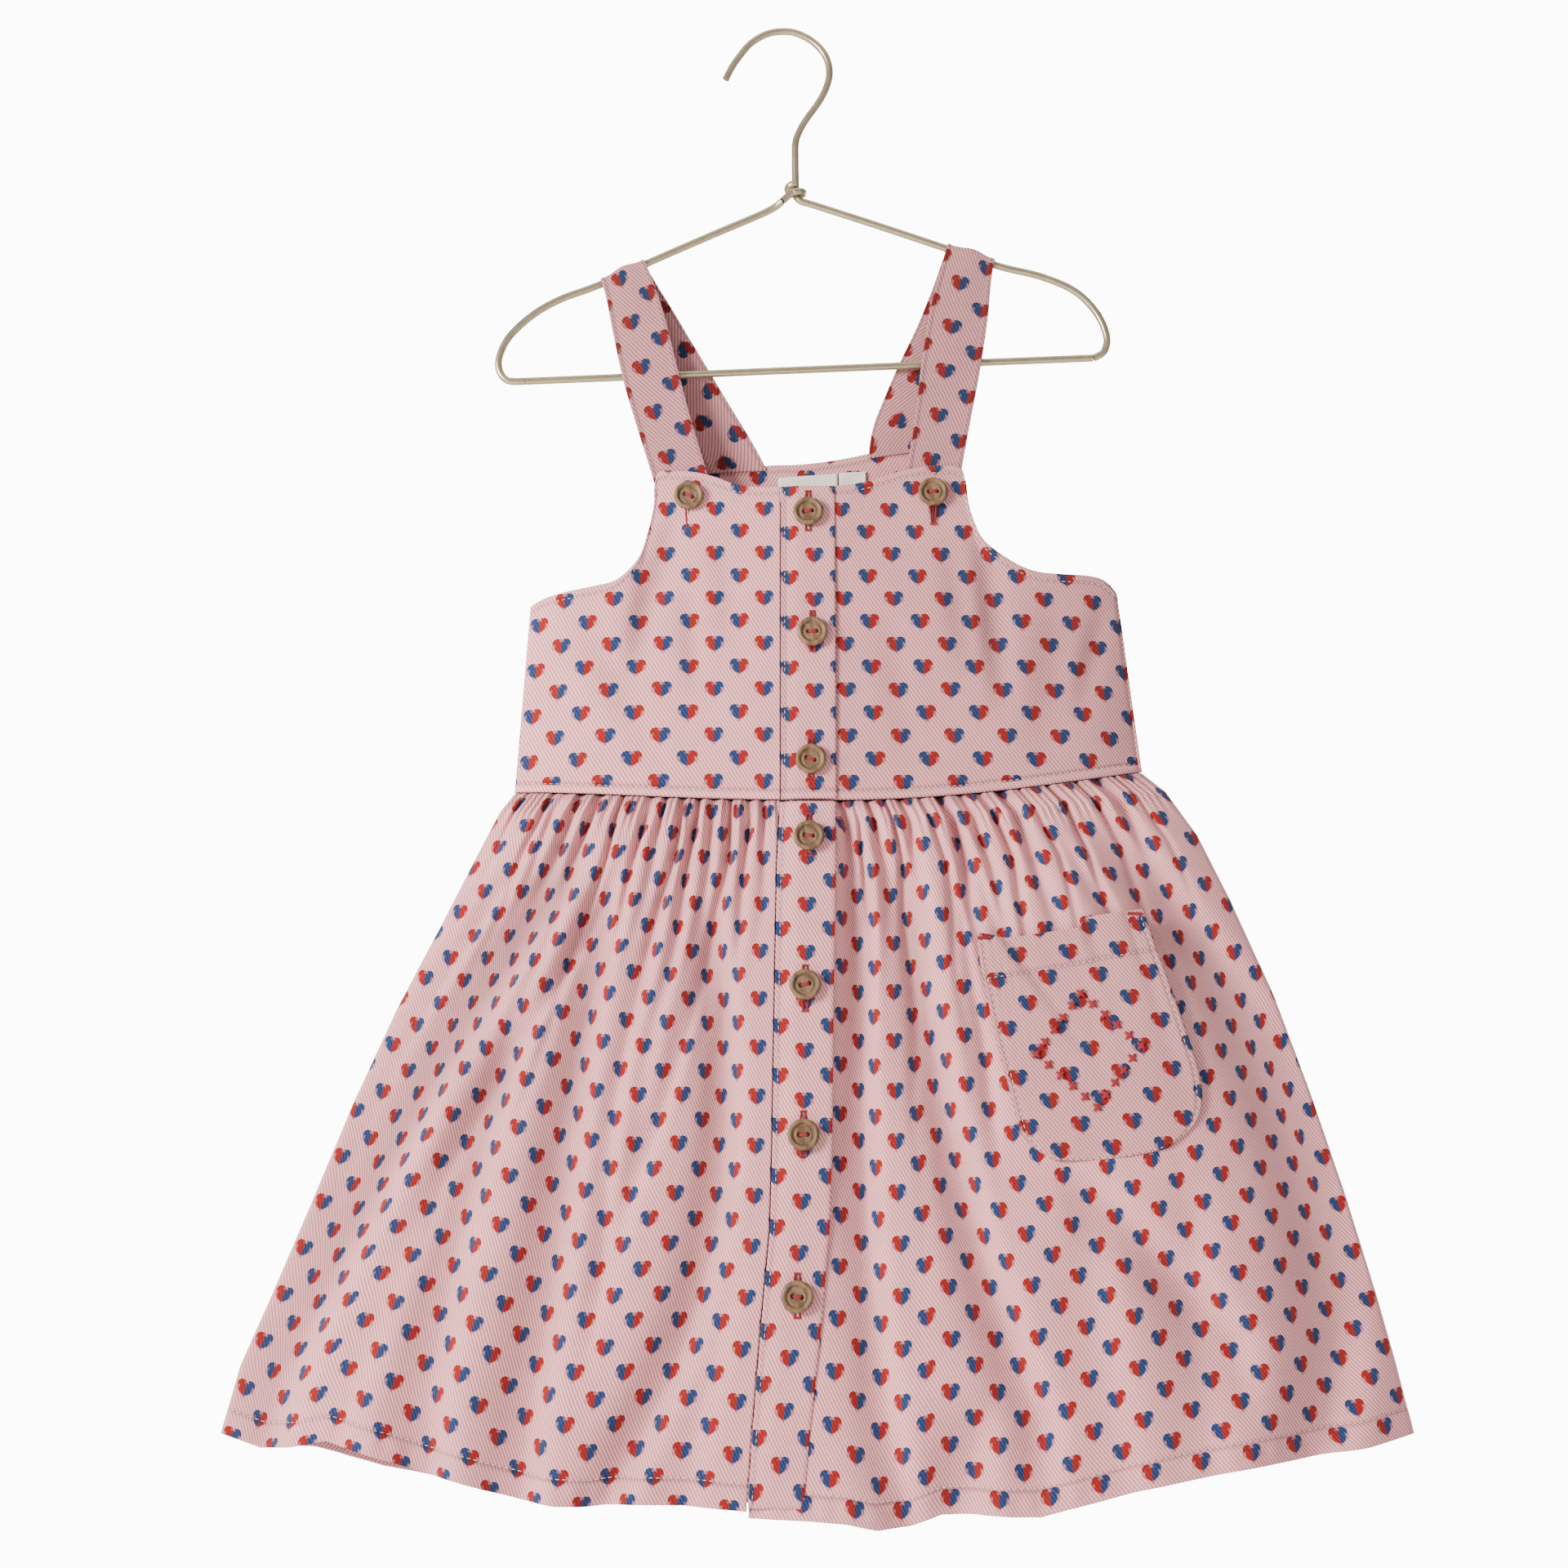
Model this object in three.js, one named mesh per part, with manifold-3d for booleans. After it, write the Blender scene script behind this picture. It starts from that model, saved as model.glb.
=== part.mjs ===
// Child's pinafore dress on a wire hanger.
// Millimetres, +Z up, front faces -Y, origin where the hook rests on its rod.
// Left and right are the viewer's, seen from the front.
import * as THREE from 'three';
import { mergeVertices } from 'three/addons/utils/BufferGeometryUtils.js';
import Module from 'manifold-3d';

const wasm = await Module();
wasm.setup();

// Driving sizes
const CLOTH = 1.1;            // wall of every cloth panel
const GAP = 0.3;              // space between pieces that meet
const SIDE_Y = GAP / 2;       // half the space between front and back at a side seam
const BASE = SIDE_Y + CLOTH;  // outer face at a side seam
const EDGE_POWER = 6;         // how flat the front runs before it turns to the side seam
const WAIST_MID = 23;
const WAIST_HALF = 155.5;
const WAIST_Z = -421;
const WAIST_RISE_LEFT = 6.5;
const WAIST_RISE_RIGHT = 17;
const CHEST_MID = 21;
const CHEST_HALF = 148;
const CHEST_Z = -318;
const BODICE_SEAM_X = -1;     // where the button band is joined on
const BAND_EDGE_X = 26.5;     // free edge of the button band on the bodice
const RIDGE_HEIGHT = 3.6;     // rolled edge along the waist seam
const RIDGE_OUT = 0.9;
const STRAP_THICK = 1.6;
const WIRE_R = 1.9;
const WIRE_SIDES = 9;
const BUTTON_R = 7.5;
const BUTTON_THICK = 3.4;
const BUTTON_SIDES = 15;
const BUTTON_HOLE_R = 0.9;
const BUTTON_HOLE_X = 1.7;
const POCKET_THICK = 1.1;
const LABEL_THICK = 0.6;

// Sections down the skirt: v is 0 at the waist and 1 at the hem
const SKIRT_SECTIONS = [
  // v, left x, right x, front depth, back depth
  [0.00, -132.5, 178.5, 13.0, 11.5],
  [0.03, -139.5, 190, 15.0, 13.0],
  [0.10, -150, 205, 17.0, 15.0],
  [0.20, -164.5, 219.5, 19.0, 17.0],
  [0.35, -187, 239, 21.5, 19.0],
  [0.50, -206.5, 254.5, 24.0, 21.5],
  [0.65, -224, 268.5, 26.5, 24.0],
  [0.80, -242, 281, 29.0, 26.0],
  [0.90, -254.5, 288.5, 31.0, 27.5],
  [1.00, -262, 295, 32.0, 29.0],
];

// Hem heights: s is -1 at the left side seam and 1 at the right
const HEM_FRONT_LEFT = [
  // s, z
  [-1.00, -720], [-0.93, -726.5], [-0.87, -725.5], [-0.81, -722.5], [-0.755, -727],
  [-0.70, -731.5], [-0.65, -736], [-0.59, -740], [-0.54, -744], [-0.485, -748], [-0.43, -750.5],
  [-0.38, -751], [-0.325, -749.5], [-0.22, -750], [-0.115, -752.5], [0.00, -755],
];
const HEM_FRONT_RIGHT = [
  // s, z
  [-0.14, -755], [-0.02, -756.5], [0.045, -758], [0.095, -761], [0.15, -759.5], [0.20, -754.5],
  [0.255, -754], [0.31, -755], [0.36, -755], [0.41, -751.5], [0.465, -748], [0.52, -744],
  [0.575, -741], [0.68, -735.5], [0.79, -731], [0.85, -728], [0.91, -726], [0.97, -722], [1.00, -720],
];
const HEM_BACK = [
  // s, z
  [-1.00, -720], [-0.95, -725], [-0.90, -725.5], [-0.85, -726.5], [-0.795, -731.5],
  [-0.74, -736.5], [-0.68, -739.5], [-0.57, -745.5], [-0.40, -751], [0.00, -755], [0.35, -753],
  [0.50, -747], [0.67, -737.5], [0.83, -729.5], [1.00, -720],
];

// Waist gathers of the front, one row per tuck
const FRONT_GATHERS = [
  // s, depth, reach
  [-0.955, 3.0, 0.10], [-0.866, 5.5, 0.14], [-0.830, 4.5, 0.10], [-0.782, 6.5, 0.16],
  [-0.720, 7.0, 0.22], [-0.645, 7.5, 0.26], [-0.558, 7.0, 0.20], [-0.513, 5.0, 0.12],
  [-0.459, 7.0, 0.20], [-0.410, 7.0, 0.24], [-0.360, 6.0, 0.14], [-0.310, 6.5, 0.17],
  [-0.253, 6.5, 0.15], [-0.205, 4.0, 0.10],
  [0.036, 6.0, 0.20], [0.075, 7.0, 0.26], [0.122, 5.0, 0.13], [0.173, 7.0, 0.24],
  [0.221, 5.0, 0.12], [0.288, 6.0, 0.17], [0.347, 7.0, 0.20], [0.412, 6.0, 0.17],
  [0.471, 6.5, 0.20], [0.538, 5.5, 0.13], [0.597, 6.0, 0.14], [0.687, 7.0, 0.18],
  [0.779, 6.0, 0.17], [0.846, 5.0, 0.12], [0.905, 4.0, 0.10],
];

// Long soft folds, each a trough through three places down the skirt
const FRONT_FOLDS = [
  // v top, s top, v middle, s middle, v end, s end, depth, half width in s
  [0.04, -0.70, 0.50, -0.87, 1.02, -0.94, 11.0, 0.050],
  [0.08, -0.63, 0.50, -0.54, 1.02, -0.49, 7.0, 0.040],
  [0.30, -0.71, 0.65, -0.70, 1.02, -0.64, 7.0, 0.040],
  [0.12, -0.36, 0.46, -0.23, 1.02, -0.36, 6.0, 0.035],
  [0.02, 0.07, 0.50, 0.06, 1.02, 0.15, 7.0, 0.030],
  [0.02, 0.175, 0.40, 0.22, 0.88, 0.37, 6.0, 0.035],
  [0.00, 0.70, 0.45, 0.94, 1.02, 0.81, 11.0, 0.045],
  [0.50, 0.42, 0.64, 0.56, 0.82, 0.71, 5.0, 0.045],
  [0.80, 0.30, 0.90, 0.26, 1.02, 0.22, 6.0, 0.045],
];
const BACK_FOLDS = [
  // v top, s top, v middle, s middle, v end, s end, depth, half width in s
  [0.05, -0.62, 0.50, -0.78, 1.02, -0.88, 9.0, 0.050],
  [0.10, -0.45, 0.55, -0.52, 1.02, -0.56, 7.0, 0.040],
  [0.06, -0.20, 0.50, -0.17, 1.02, -0.24, 7.0, 0.040],
  [0.04, 0.08, 0.55, 0.10, 1.02, 0.06, 6.0, 0.040],
  [0.10, 0.30, 0.50, 0.36, 1.02, 0.34, 7.0, 0.040],
  [0.05, 0.55, 0.50, 0.66, 1.02, 0.62, 7.0, 0.045],
  [0.03, 0.70, 0.45, 0.88, 1.02, 0.85, 10.0, 0.050],
];
const BACK_GATHER_COUNT = 25;

// Bodice panels, one row per line from the top edge down to the waist
const BODICE_LEFT_LINES = [
  // top x, top z, waist x
  [-127, -318.5, -132.5], [-119, -315, -124], [-110, -313, -114], [-101, -311.5, -105],
  [-92, -310, -97], [-84, -308, -89], [-77.5, -303, -82], [-72, -296, -76],
  [-69, -288, -70], [-66, -276, -64], [-64, -264, -58], [-63, -251, -52],
  [-52, -250, -44], [-42, -251, -36], [-33, -253.5, -28], [-24, -257, -20],
  [-13, -258.5, -11], [-1, -258.5, -1],
];
const BODICE_RIGHT_LINES = [
  // top x, top z, waist x
  [-0.5, -258.5, -0.5], [13, -258.5, 13], [26, -258, 27], [36, -257, 37], [48, -254, 48],
  [60, -250, 59], [72, -247.5, 69], [82, -247, 78], [91, -249, 87], [93, -263, 94],
  [96, -275, 100], [100, -285, 106], [105.5, -291, 112], [113, -296.5, 119],
  [121, -301, 127], [130, -303.5, 135], [142, -304, 144], [154, -304, 156],
  [162, -305.5, 166], [169, -311.5, 178.5],
];
const BODICE_BACK_LINES = [
  // top x, top z, waist x
  [-127, -318.5, -132.5], [-116, -318.5, -122], [-104, -317, -110], [-93, -313, -99],
  [-83, -306, -88], [-74, -296, -78], [-66, -283, -68], [-58, -268, -58],
  [-50, -254, -49], [-43, -242, -40], [-34, -241, -30], [-20, -240.5, -16],
  [-6, -239.5, -2], [9, -239, 12], [26, -237, 27], [41, -234, 41], [55, -231, 55],
  [67, -230, 68], [75, -230, 79], [80, -242, 88], [86, -257, 97], [93, -272, 106],
  [101, -286, 115], [112, -297, 125], [125, -304, 136], [140, -307, 149],
  [156, -309, 165], [169, -311.5, 178.5],
];
const BODICE_DEPTHS = [
  // z, front depth, back depth
  [-225, 8.0, 7.2], [-250, 10.0, 8.6], [-285, 11.4, 10.0], [-318, 12.2, 10.8],
  [-370, 12.6, 11.2], [-425, 13.0, 11.5],
];

// Straps: centre of each section, up the front run and down the back run
const STRAP_LEFT_FRONT = [
  // x, y, z, tilt in degrees, width
  [-44.0, -9.9, -283, 14, 27], [-50.5, -8.9, -256, 16, 27], [-60.5, -7.3, -222, 16, 27.5],
  [-67.5, -5.9, -196, 16, 28.5], [-74.0, -4.6, -168, 18, 28], [-78.8, -3.7, -149, 22, 26],
];
const STRAP_LEFT_BACK = [
  // x, y, z, tilt in degrees, width
  [-75.5, 3.6, -151, 27, 26], [-69.5, 4.2, -162, 30, 27], [-55.0, 5.4, -187, 30, 27],
  [-41.0, 6.8, -211, 30, 27], [-30.5, 8.0, -229, 24, 27.5], [-23.0, 8.3, -239.2, 3, 30],
];
const STRAP_RIGHT_FRONT = [
  // x, y, z, tilt in degrees, width
  [72.0, -9.9, -281, -10, 27], [76.5, -8.8, -252, -10, 27], [82.0, -7.2, -220, -10, 28],
  [86.5, -5.8, -192, -10, 30], [91.5, -4.4, -161, -12, 30], [95.5, -3.6, -140, -18, 27],
];
const STRAP_RIGHT_BACK = [
  // x, y, z, tilt in degrees, width
  [91.6, 3.8, -147, -21, 26.5], [82.8, 4.6, -170, -21, 27], [73.0, 5.6, -191, -21, 27],
  [65.0, 6.6, -210, -19, 27], [60.5, 7.4, -222, -8, 27.5], [58.6, 7.6, -229.9, 8, 28.5],
];
// Where each strap bears on the wire
const STRAP_LEFT_BEND = { x: -82.5, z: -137.6, tilt: 25.5, width: 25 };
const STRAP_RIGHT_BEND = { x: 98.0, z: -127.6, tilt: -20, width: 26 };

// Wire hanger, centre line in the plane y = 0 unless a row says otherwise
const HOOK_PATH = [
  // x, z
  [-30, -26], [-27, -19.5], [-23, -13], [-17, -5.2], [-9, 0.2], [-1, 2], [7, 1.2], [15, -3],
  [21, -9], [24.3, -16], [25, -24], [23, -32], [19, -40], [13, -49], [9.2, -56], [7, -63],
  [6.8, -72], [6.9, -82], [7, -90], [7.6, -94], [10, -96.4], [14, -97.6],
];
const ARM_RIGHT_PATH = [
  // x, z
  [14.6, -97.8], [48, -109.5], [81, -121.4], [98, -127.6], [115, -133.7], [135, -139],
  [152, -147], [163, -159], [168, -172], [166.5, -180.5], [161, -184.2],
];
const ARM_LEFT_PATH = [
  // x, z
  [-132.6, -197], [-141.5, -196.6], [-146, -191], [-146, -183], [-141, -172], [-129, -160],
  [-115, -151.5], [-99, -145.2], [-82.5, -137.6], [-67, -129.8], [-36, -115.2], [-8, -102.2],
];
const BAR_PATH = [[-131.8, -197], [159.8, -184.2]];
const ARM_LEFT_END = new THREE.Vector3(0.0, -2.9, -97.7);
const NECK_X = 7;
const WRAP_R = 4.25;
const WRAP_START = -115;
const WRAP_TURN = 390;
const WRAP_Z = -93.2;
const WRAP_RISE = 5.0;

const BUTTONS = [
  // name, x, z, where it sits
  ['button_strap_left', -47, -264, 'bodice'],
  ['button_strap_right', 76, -262, 'bodice'],
  ['button_bodice_1', 13, -273, 'band'],
  ['button_bodice_2', 15, -336, 'band'],
  ['button_bodice_3', 14, -401, 'band'],
  ['button_skirt_1', 13, -440, 'skirt'],
  ['button_skirt_2', 11, -513, 'skirt'],
  ['button_skirt_3', 10, -584, 'skirt'],
  ['button_skirt_4', 7, -658, 'skirt'],
];

// Button band on the skirt: its joined edge and its free edge
const BAND_SECTIONS = [
  // v, joined x, free x
  [0.00, -1.5, 26.0], [0.10, -3.0, 26.0], [0.30, -4.0, 24.5], [0.50, -5.0, 23.5],
  [0.62, -6.0, 22.0], [0.75, -10.0, 18.0], [0.90, -14.0, 12.5], [1.00, -16.0, 9.5],
];

// Pocket, one row per section from its top edge to its foot
const POCKET_SECTIONS = [
  // left x, left z, right x, right z, sag of the middle
  [93, -488, 174, -475.5, -4.0], [95, -505, 178, -490, -1.5], [98, -521, 184, -508, 0],
  [101.5, -540, 191, -531, 0], [106, -558, 197, -552, 0], [109, -571, 198.3, -567, 0],
  [112, -582, 196, -576, -2.0], [117.5, -589.5, 191, -582, -4.0], [127, -595.5, 181, -589.5, -2.5],
];
const POCKET_COLUMNS = 9;

// Colours
const paint = (colour, roughness, metalness) =>
  new THREE.MeshStandardMaterial({ color: colour, roughness, metalness });
const PINK = paint(0xe6c1c0, 0.9, 0);
const METAL = paint(0xc7ab84, 0.35, 0.9);
const WOOD = paint(0xab8d5f, 0.6, 0);
const CREAM = paint(0xe9e2d2, 0.8, 0);

// Helpers
const clamp = (t, low, high) => Math.min(high, Math.max(low, t));
const ease = (t) => {
  const k = clamp(t, 0, 1);
  return k * k * (3 - 2 * k);
};
function lookUp(table, at, column) {
  if (at <= table[0][0]) return table[0][column];
  for (let i = 1; i < table.length; i += 1) {
    if (at <= table[i][0]) {
      const part = (at - table[i - 1][0]) / (table[i][0] - table[i - 1][0]);
      return table[i - 1][column] + (table[i][column] - table[i - 1][column]) * part;
    }
  }
  return table[table.length - 1][column];
}
// Same, for tables whose first column falls
function lookUpFalling(table, at, column) {
  return lookUp(table.map((row) => [-row[0], ...row.slice(1)]), -at, column);
}

function waistZ(x) {
  const s = (x - WAIST_MID) / WAIST_HALF;
  return WAIST_Z + (s < 0 ? WAIST_RISE_LEFT : WAIST_RISE_RIGHT) * s * s;
}

// Bodice outer face
function bodiceY(side, x, z) {
  const down = clamp((CHEST_Z - z) / (CHEST_Z - WAIST_Z), 0, 1);
  const mid = CHEST_MID + (WAIST_MID - CHEST_MID) * down;
  const half = CHEST_HALF + (WAIST_HALF - CHEST_HALF) * down;
  const across = clamp(Math.abs(x - mid) / half, 0, 1);
  const depth = lookUpFalling(BODICE_DEPTHS, z, side < 0 ? 1 : 2);
  return side * (BASE + depth * (1 - across ** EDGE_POWER));
}

// Skirt gathers and folds, both measured inward from the full outline
function backGathers() {
  const rows = [];
  for (let i = 0; i < BACK_GATHER_COUNT; i += 1) {
    const s = -0.93 + (i * 1.86) / (BACK_GATHER_COUNT - 1) + 0.012 * Math.sin(i * 2.4);
    rows.push([s, 5.6 + 1.4 * Math.sin(i * 1.7), 0.16 + 0.05 * Math.sin(i * 2.9)]);
  }
  return rows;
}
const BACK_GATHERS = backGathers();

function foldPath(row, v) {
  const [v0, s0, v1, s1, v2, s2] = row;
  const a = ((v - v1) * (v - v2)) / ((v0 - v1) * (v0 - v2));
  const b = ((v - v0) * (v - v2)) / ((v1 - v0) * (v1 - v2));
  const c = ((v - v0) * (v - v1)) / ((v2 - v0) * (v2 - v1));
  return s0 * a + s1 * b + s2 * c;
}
function inwardFolds(side, s, v) {
  let sum = 0;
  const rise = 0.4 + 0.6 * ease(v / 0.05);
  for (const [at, depth, reach] of side < 0 ? FRONT_GATHERS : BACK_GATHERS) {
    const width = 0.013 + 0.03 * v;
    const away = (s - at) / width;
    sum += depth * rise * Math.exp(-v / reach) * Math.exp(-away * away);
  }
  for (const row of side < 0 ? FRONT_FOLDS : BACK_FOLDS) {
    const [v0, , , , v2, , depth, width] = row;
    const fade = ease((v - v0) / 0.16) * ease((v2 + 0.16 - v) / 0.16);
    if (fade > 0) {
      const away = (s - foldPath(row, clamp(v, v0, v2))) / width;
      sum += depth * fade * Math.exp(-away * away);
    }
  }
  return sum;
}

// Skirt outer face
function skirtSpan(v) {
  return [lookUp(SKIRT_SECTIONS, v, 1), lookUp(SKIRT_SECTIONS, v, 2)];
}
function skirtX(s, v) {
  const [left, right] = skirtSpan(v);
  return left + ((right - left) * (s + 1)) / 2;
}
function skirtZ(hem, s, v) {
  const top = waistZ(WAIST_MID + WAIST_HALF * s) - GAP;
  return top + (lookUp(hem, s, 1) - top) * v;
}
function skirtY(side, s, v) {
  const room = lookUp(SKIRT_SECTIONS, v, side < 0 ? 3 : 4) * (1 - Math.abs(clamp(s, -1, 1)) ** EDGE_POWER);
  const inward = inwardFolds(side, s, v);
  const kept = room > 0.01 ? room - 0.92 * room * Math.tanh(inward / room) : 0;
  return side * (BASE + kept);
}
function skirtPoint(side, hem, s, v) {
  return new THREE.Vector3(skirtX(s, v), skirtY(side, s, v), skirtZ(hem, s, v));
}
function skirtS(x, v) {
  const [left, right] = skirtSpan(v);
  return (2 * (x - left)) / (right - left) - 1;
}
function skirtV(hem, x, z) {
  let v = 0.5;
  for (let i = 0; i < 12; i += 1) {
    const s = skirtS(x, v);
    const top = waistZ(WAIST_MID + WAIST_HALF * s) - GAP;
    v = clamp((top - z) / (top - lookUp(hem, s, 1)), 0, 1);
  }
  return v;
}
// Foremost place of the skirt's front near a point, so a piece laid on it clears the folds
function frontOf(x, z, reach) {
  let y = 0;
  for (const dx of [-reach, -reach / 2, 0, reach / 2, reach]) {
    for (const dz of [-reach, 0, reach]) {
      const v = skirtV(HEM_FRONT_RIGHT, x + dx, z + dz);
      y = Math.min(y, skirtY(-1, skirtS(x + dx, v), v));
    }
  }
  return y;
}

// A closed cloth wall from rows of points on its outer face
function clothWall(rows, side, thickness, keepSide) {
  const points = [];
  const start = [];
  for (const row of rows) {
    start.push(points.length);
    for (const item of row) points.push(item.p.clone());
  }
  const faces = [];
  for (let r = 0; r + 1 < rows.length; r += 1) {
    const a = rows[r];
    const b = rows[r + 1];
    let i = 0;
    let j = 0;
    while (i + 1 < a.length || j + 1 < b.length) {
      const nextA = i + 1 < a.length ? a[i + 1].t : Infinity;
      const nextB = j + 1 < b.length ? b[j + 1].t : Infinity;
      const even = i + 1 < a.length && j + 1 < b.length && Math.abs(nextA - nextB) < 1e-6;
      if (nextA < nextB || (even && (i + j) % 4 < 2)) {
        faces.push([start[r] + i, start[r + 1] + j, start[r] + i + 1]);
        i += 1;
      } else {
        faces.push([start[r] + i, start[r + 1] + j, start[r + 1] + j + 1]);
        j += 1;
      }
    }
  }
  const normals = points.map(() => new THREE.Vector3());
  const u = new THREE.Vector3();
  const w = new THREE.Vector3();
  const total = new THREE.Vector3();
  for (const [a, b, c] of faces) {
    u.subVectors(points[b], points[a]);
    w.subVectors(points[c], points[a]);
    u.cross(w);
    total.add(u);
    for (const k of [a, b, c]) normals[k].add(u);
  }
  const turned = total.y * side < 0;
  if (turned) {
    for (const face of faces) face.reverse();
    for (const n of normals) n.negate();
  }
  const count = points.length;
  for (let k = 0; k < count; k += 1) {
    const n = normals[k].normalize();
    if (keepSide) {
      const least = BASE - 0.15;
      if (points[k].y * side < least) points[k].y = side * least;
    }
    const inner = points[k].clone().addScaledVector(n, -thickness);
    if (keepSide && inner.y * side < SIDE_Y) inner.y = side * SIDE_Y;
    points.push(inner);
  }
  const seen = new Set();
  for (const [a, b, c] of faces) {
    seen.add(a * count + b).add(b * count + c).add(c * count + a);
  }
  const index = [];
  for (const [a, b, c] of faces) {
    index.push(a, b, c, a + count, c + count, b + count);
    for (const [p, q] of [[a, b], [b, c], [c, a]]) {
      if (!seen.has(q * count + p)) index.push(q, p, p + count, q, p + count, q + count);
    }
  }
  const geometry = new THREE.BufferGeometry();
  geometry.setAttribute('position', new THREE.Float32BufferAttribute(points.flatMap((p) => p.toArray()), 3));
  geometry.setIndex(index);
  return geometry;
}

// A closed solid from rings of equal count
function ringSolid(rings) {
  const n = rings[0].length;
  const points = rings.flat();
  const index = [];
  for (let r = 0; r + 1 < rings.length; r += 1) {
    for (let i = 0; i < n; i += 1) {
      const a = r * n + i;
      const b = r * n + ((i + 1) % n);
      index.push(a, b, b + n, a, b + n, a + n);
    }
  }
  const last = (rings.length - 1) * n;
  for (let i = 1; i + 1 < n; i += 1) {
    index.push(0, i + 1, i);
    index.push(last, last + i, last + i + 1);
  }
  let volume = 0;
  for (let i = 0; i < index.length; i += 3) {
    const [a, b, c] = [points[index[i]], points[index[i + 1]], points[index[i + 2]]];
    volume += a.dot(new THREE.Vector3().crossVectors(b, c));
  }
  if (volume < 0) {
    for (let i = 0; i < index.length; i += 3) [index[i], index[i + 1]] = [index[i + 1], index[i]];
  }
  const geometry = new THREE.BufferGeometry();
  geometry.setAttribute('position', new THREE.Float32BufferAttribute(points.flatMap((p) => p.toArray()), 3));
  geometry.setIndex(index);
  return geometry;
}

// Panels of the bodice
function bodicePanel(lines, side) {
  const shares = [0, 0.2, 0.45, 0.72];
  const rowAt = (share, lift, out) => lines.map(([topX, topZ, footX], i) => {
    const footZ = waistZ(footX) + lift;
    const x = topX + (footX - topX) * share;
    const z = topZ + (footZ - topZ) * share;
    return { p: new THREE.Vector3(x, bodiceY(side, x, z) + side * out, z), t: i };
  });
  const rows = shares.map((share) => rowAt(share, 0, 0));
  rows.push(rowAt(1, RIDGE_HEIGHT + 0.5, 0));
  rows.push(rowAt(1, RIDGE_HEIGHT - 0.4, RIDGE_OUT));
  rows.push(rowAt(1, 0, RIDGE_OUT * 0.8));
  return clothWall(rows, side, CLOTH, true);
}

// Panels of the skirt: close columns in the gathers, wider ones below
const UPPER_ROWS = [0, 0.035, 0.085, 0.15, 0.23, 0.32];
const LOWER_ROWS = [0.40, 0.49, 0.58, 0.67, 0.76, 0.85, 0.93, 1];
const HEM_TURN = 0.6;         // how far the hem's edge stands out, from its turned fold
function bandS(v) {
  return skirtS(lookUp(BAND_SECTIONS, v, 1), v);
}
function gatherColumns(gathers, low, high) {
  const list = [low];
  for (const [s] of gathers) {
    for (const at of [s - 0.019, s, s + 0.019]) {
      if (at > list[list.length - 1] + 0.012 && at < high - 0.012) list.push(at);
    }
  }
  list.push(high);
  return list;
}
function evenColumns(low, high, count) {
  const list = [];
  for (let i = 0; i <= count; i += 1) list.push(low + ((high - low) * i) / count);
  return list;
}
function skirtPanel(side, hem, low, high, lowerCount) {
  const gathers = side < 0 ? FRONT_GATHERS : BACK_GATHERS;
  const rowAt = (columns, v) => columns.map((s) => {
    const p = skirtPoint(side, hem, s, v);
    if (v === 1) p.y += side * HEM_TURN;
    return { p, t: s };
  });
  const rows = UPPER_ROWS.map((v) => rowAt(gatherColumns(gathers, low(v), high(v)), v));
  for (const v of LOWER_ROWS) rows.push(rowAt(evenColumns(low(v), high(v), lowerCount), v));
  return clothWall(rows, side, CLOTH, true);
}

// A strip laid over the front, from rows of [left x, right x, z]
function bandWall(sections, across, faceY) {
  const rows = sections.map(([left, right, z]) => {
    const row = [];
    for (let i = 0; i <= across; i += 1) {
      const x = left + ((right - left) * i) / across;
      row.push({ p: new THREE.Vector3(x, faceY(x, z) - GAP - CLOTH, z), t: i });
    }
    return row;
  });
  return clothWall(rows, -1, CLOTH, false);
}
function bodiceBand() {
  const foot = WAIST_Z + 0.2;
  const zs = [-258.5, -300, -345, -385, foot + RIDGE_HEIGHT + 0.5, foot + RIDGE_HEIGHT - 0.4, foot];
  return bandWall(
    zs.map((z) => [BODICE_SEAM_X + 0.5, BAND_EDGE_X, z]),
    3,
    (x, z) => bodiceY(-1, x, z) - (z < foot + RIDGE_HEIGHT + 0.4 ? RIDGE_OUT : 0) - 0.15,
  );
}
const bandFaceY = (x, z) => frontOf(x, z, 5) - 0.25;
function skirtBandSections() {
  const sections = [];
  for (const v of [0.002, 0.035, 0.085, 0.15, 0.23, 0.32, 0.4, 0.49, 0.58, 0.67, 0.76, 0.85, 0.93, 0.993]) {
    const left = lookUp(BAND_SECTIONS, v, 1) + 0.5;
    const right = lookUp(BAND_SECTIONS, v, 2);
    const s = skirtS((left + right) / 2, v);
    sections.push([left, right, skirtZ(HEM_FRONT_LEFT, Math.min(s, -0.02), v)]);
  }
  return sections;
}
// Outer face of the skirt's band at a height, read between its sections
function skirtBandFront(z) {
  const rows = skirtBandSections().map(([left, right, at]) => {
    const ys = [0, 1, 2, 3].map((i) => bandFaceY(left + ((right - left) * i) / 3, at));
    return [at, Math.min(...ys) - GAP - CLOTH];
  });
  return lookUpFalling(rows, z, 1);
}

// Pocket
function pocketWall() {
  const rows = POCKET_SECTIONS.map(([lx, lz, rx, rz, sag], r) => {
    const row = [];
    for (let i = 0; i <= POCKET_COLUMNS; i += 1) {
      const share = i / POCKET_COLUMNS;
      const x = lx + (rx - lx) * share;
      const z = lz + (rz - lz) * share + sag * 4 * share * (1 - share);
      const out = r === 0 ? 0.5 : 0;
      row.push({ p: new THREE.Vector3(x, frontOf(x, z, 7) - GAP - POCKET_THICK - out, z), t: i });
    }
    return row;
  });
  return clothWall(rows, -1, POCKET_THICK, false);
}

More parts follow.
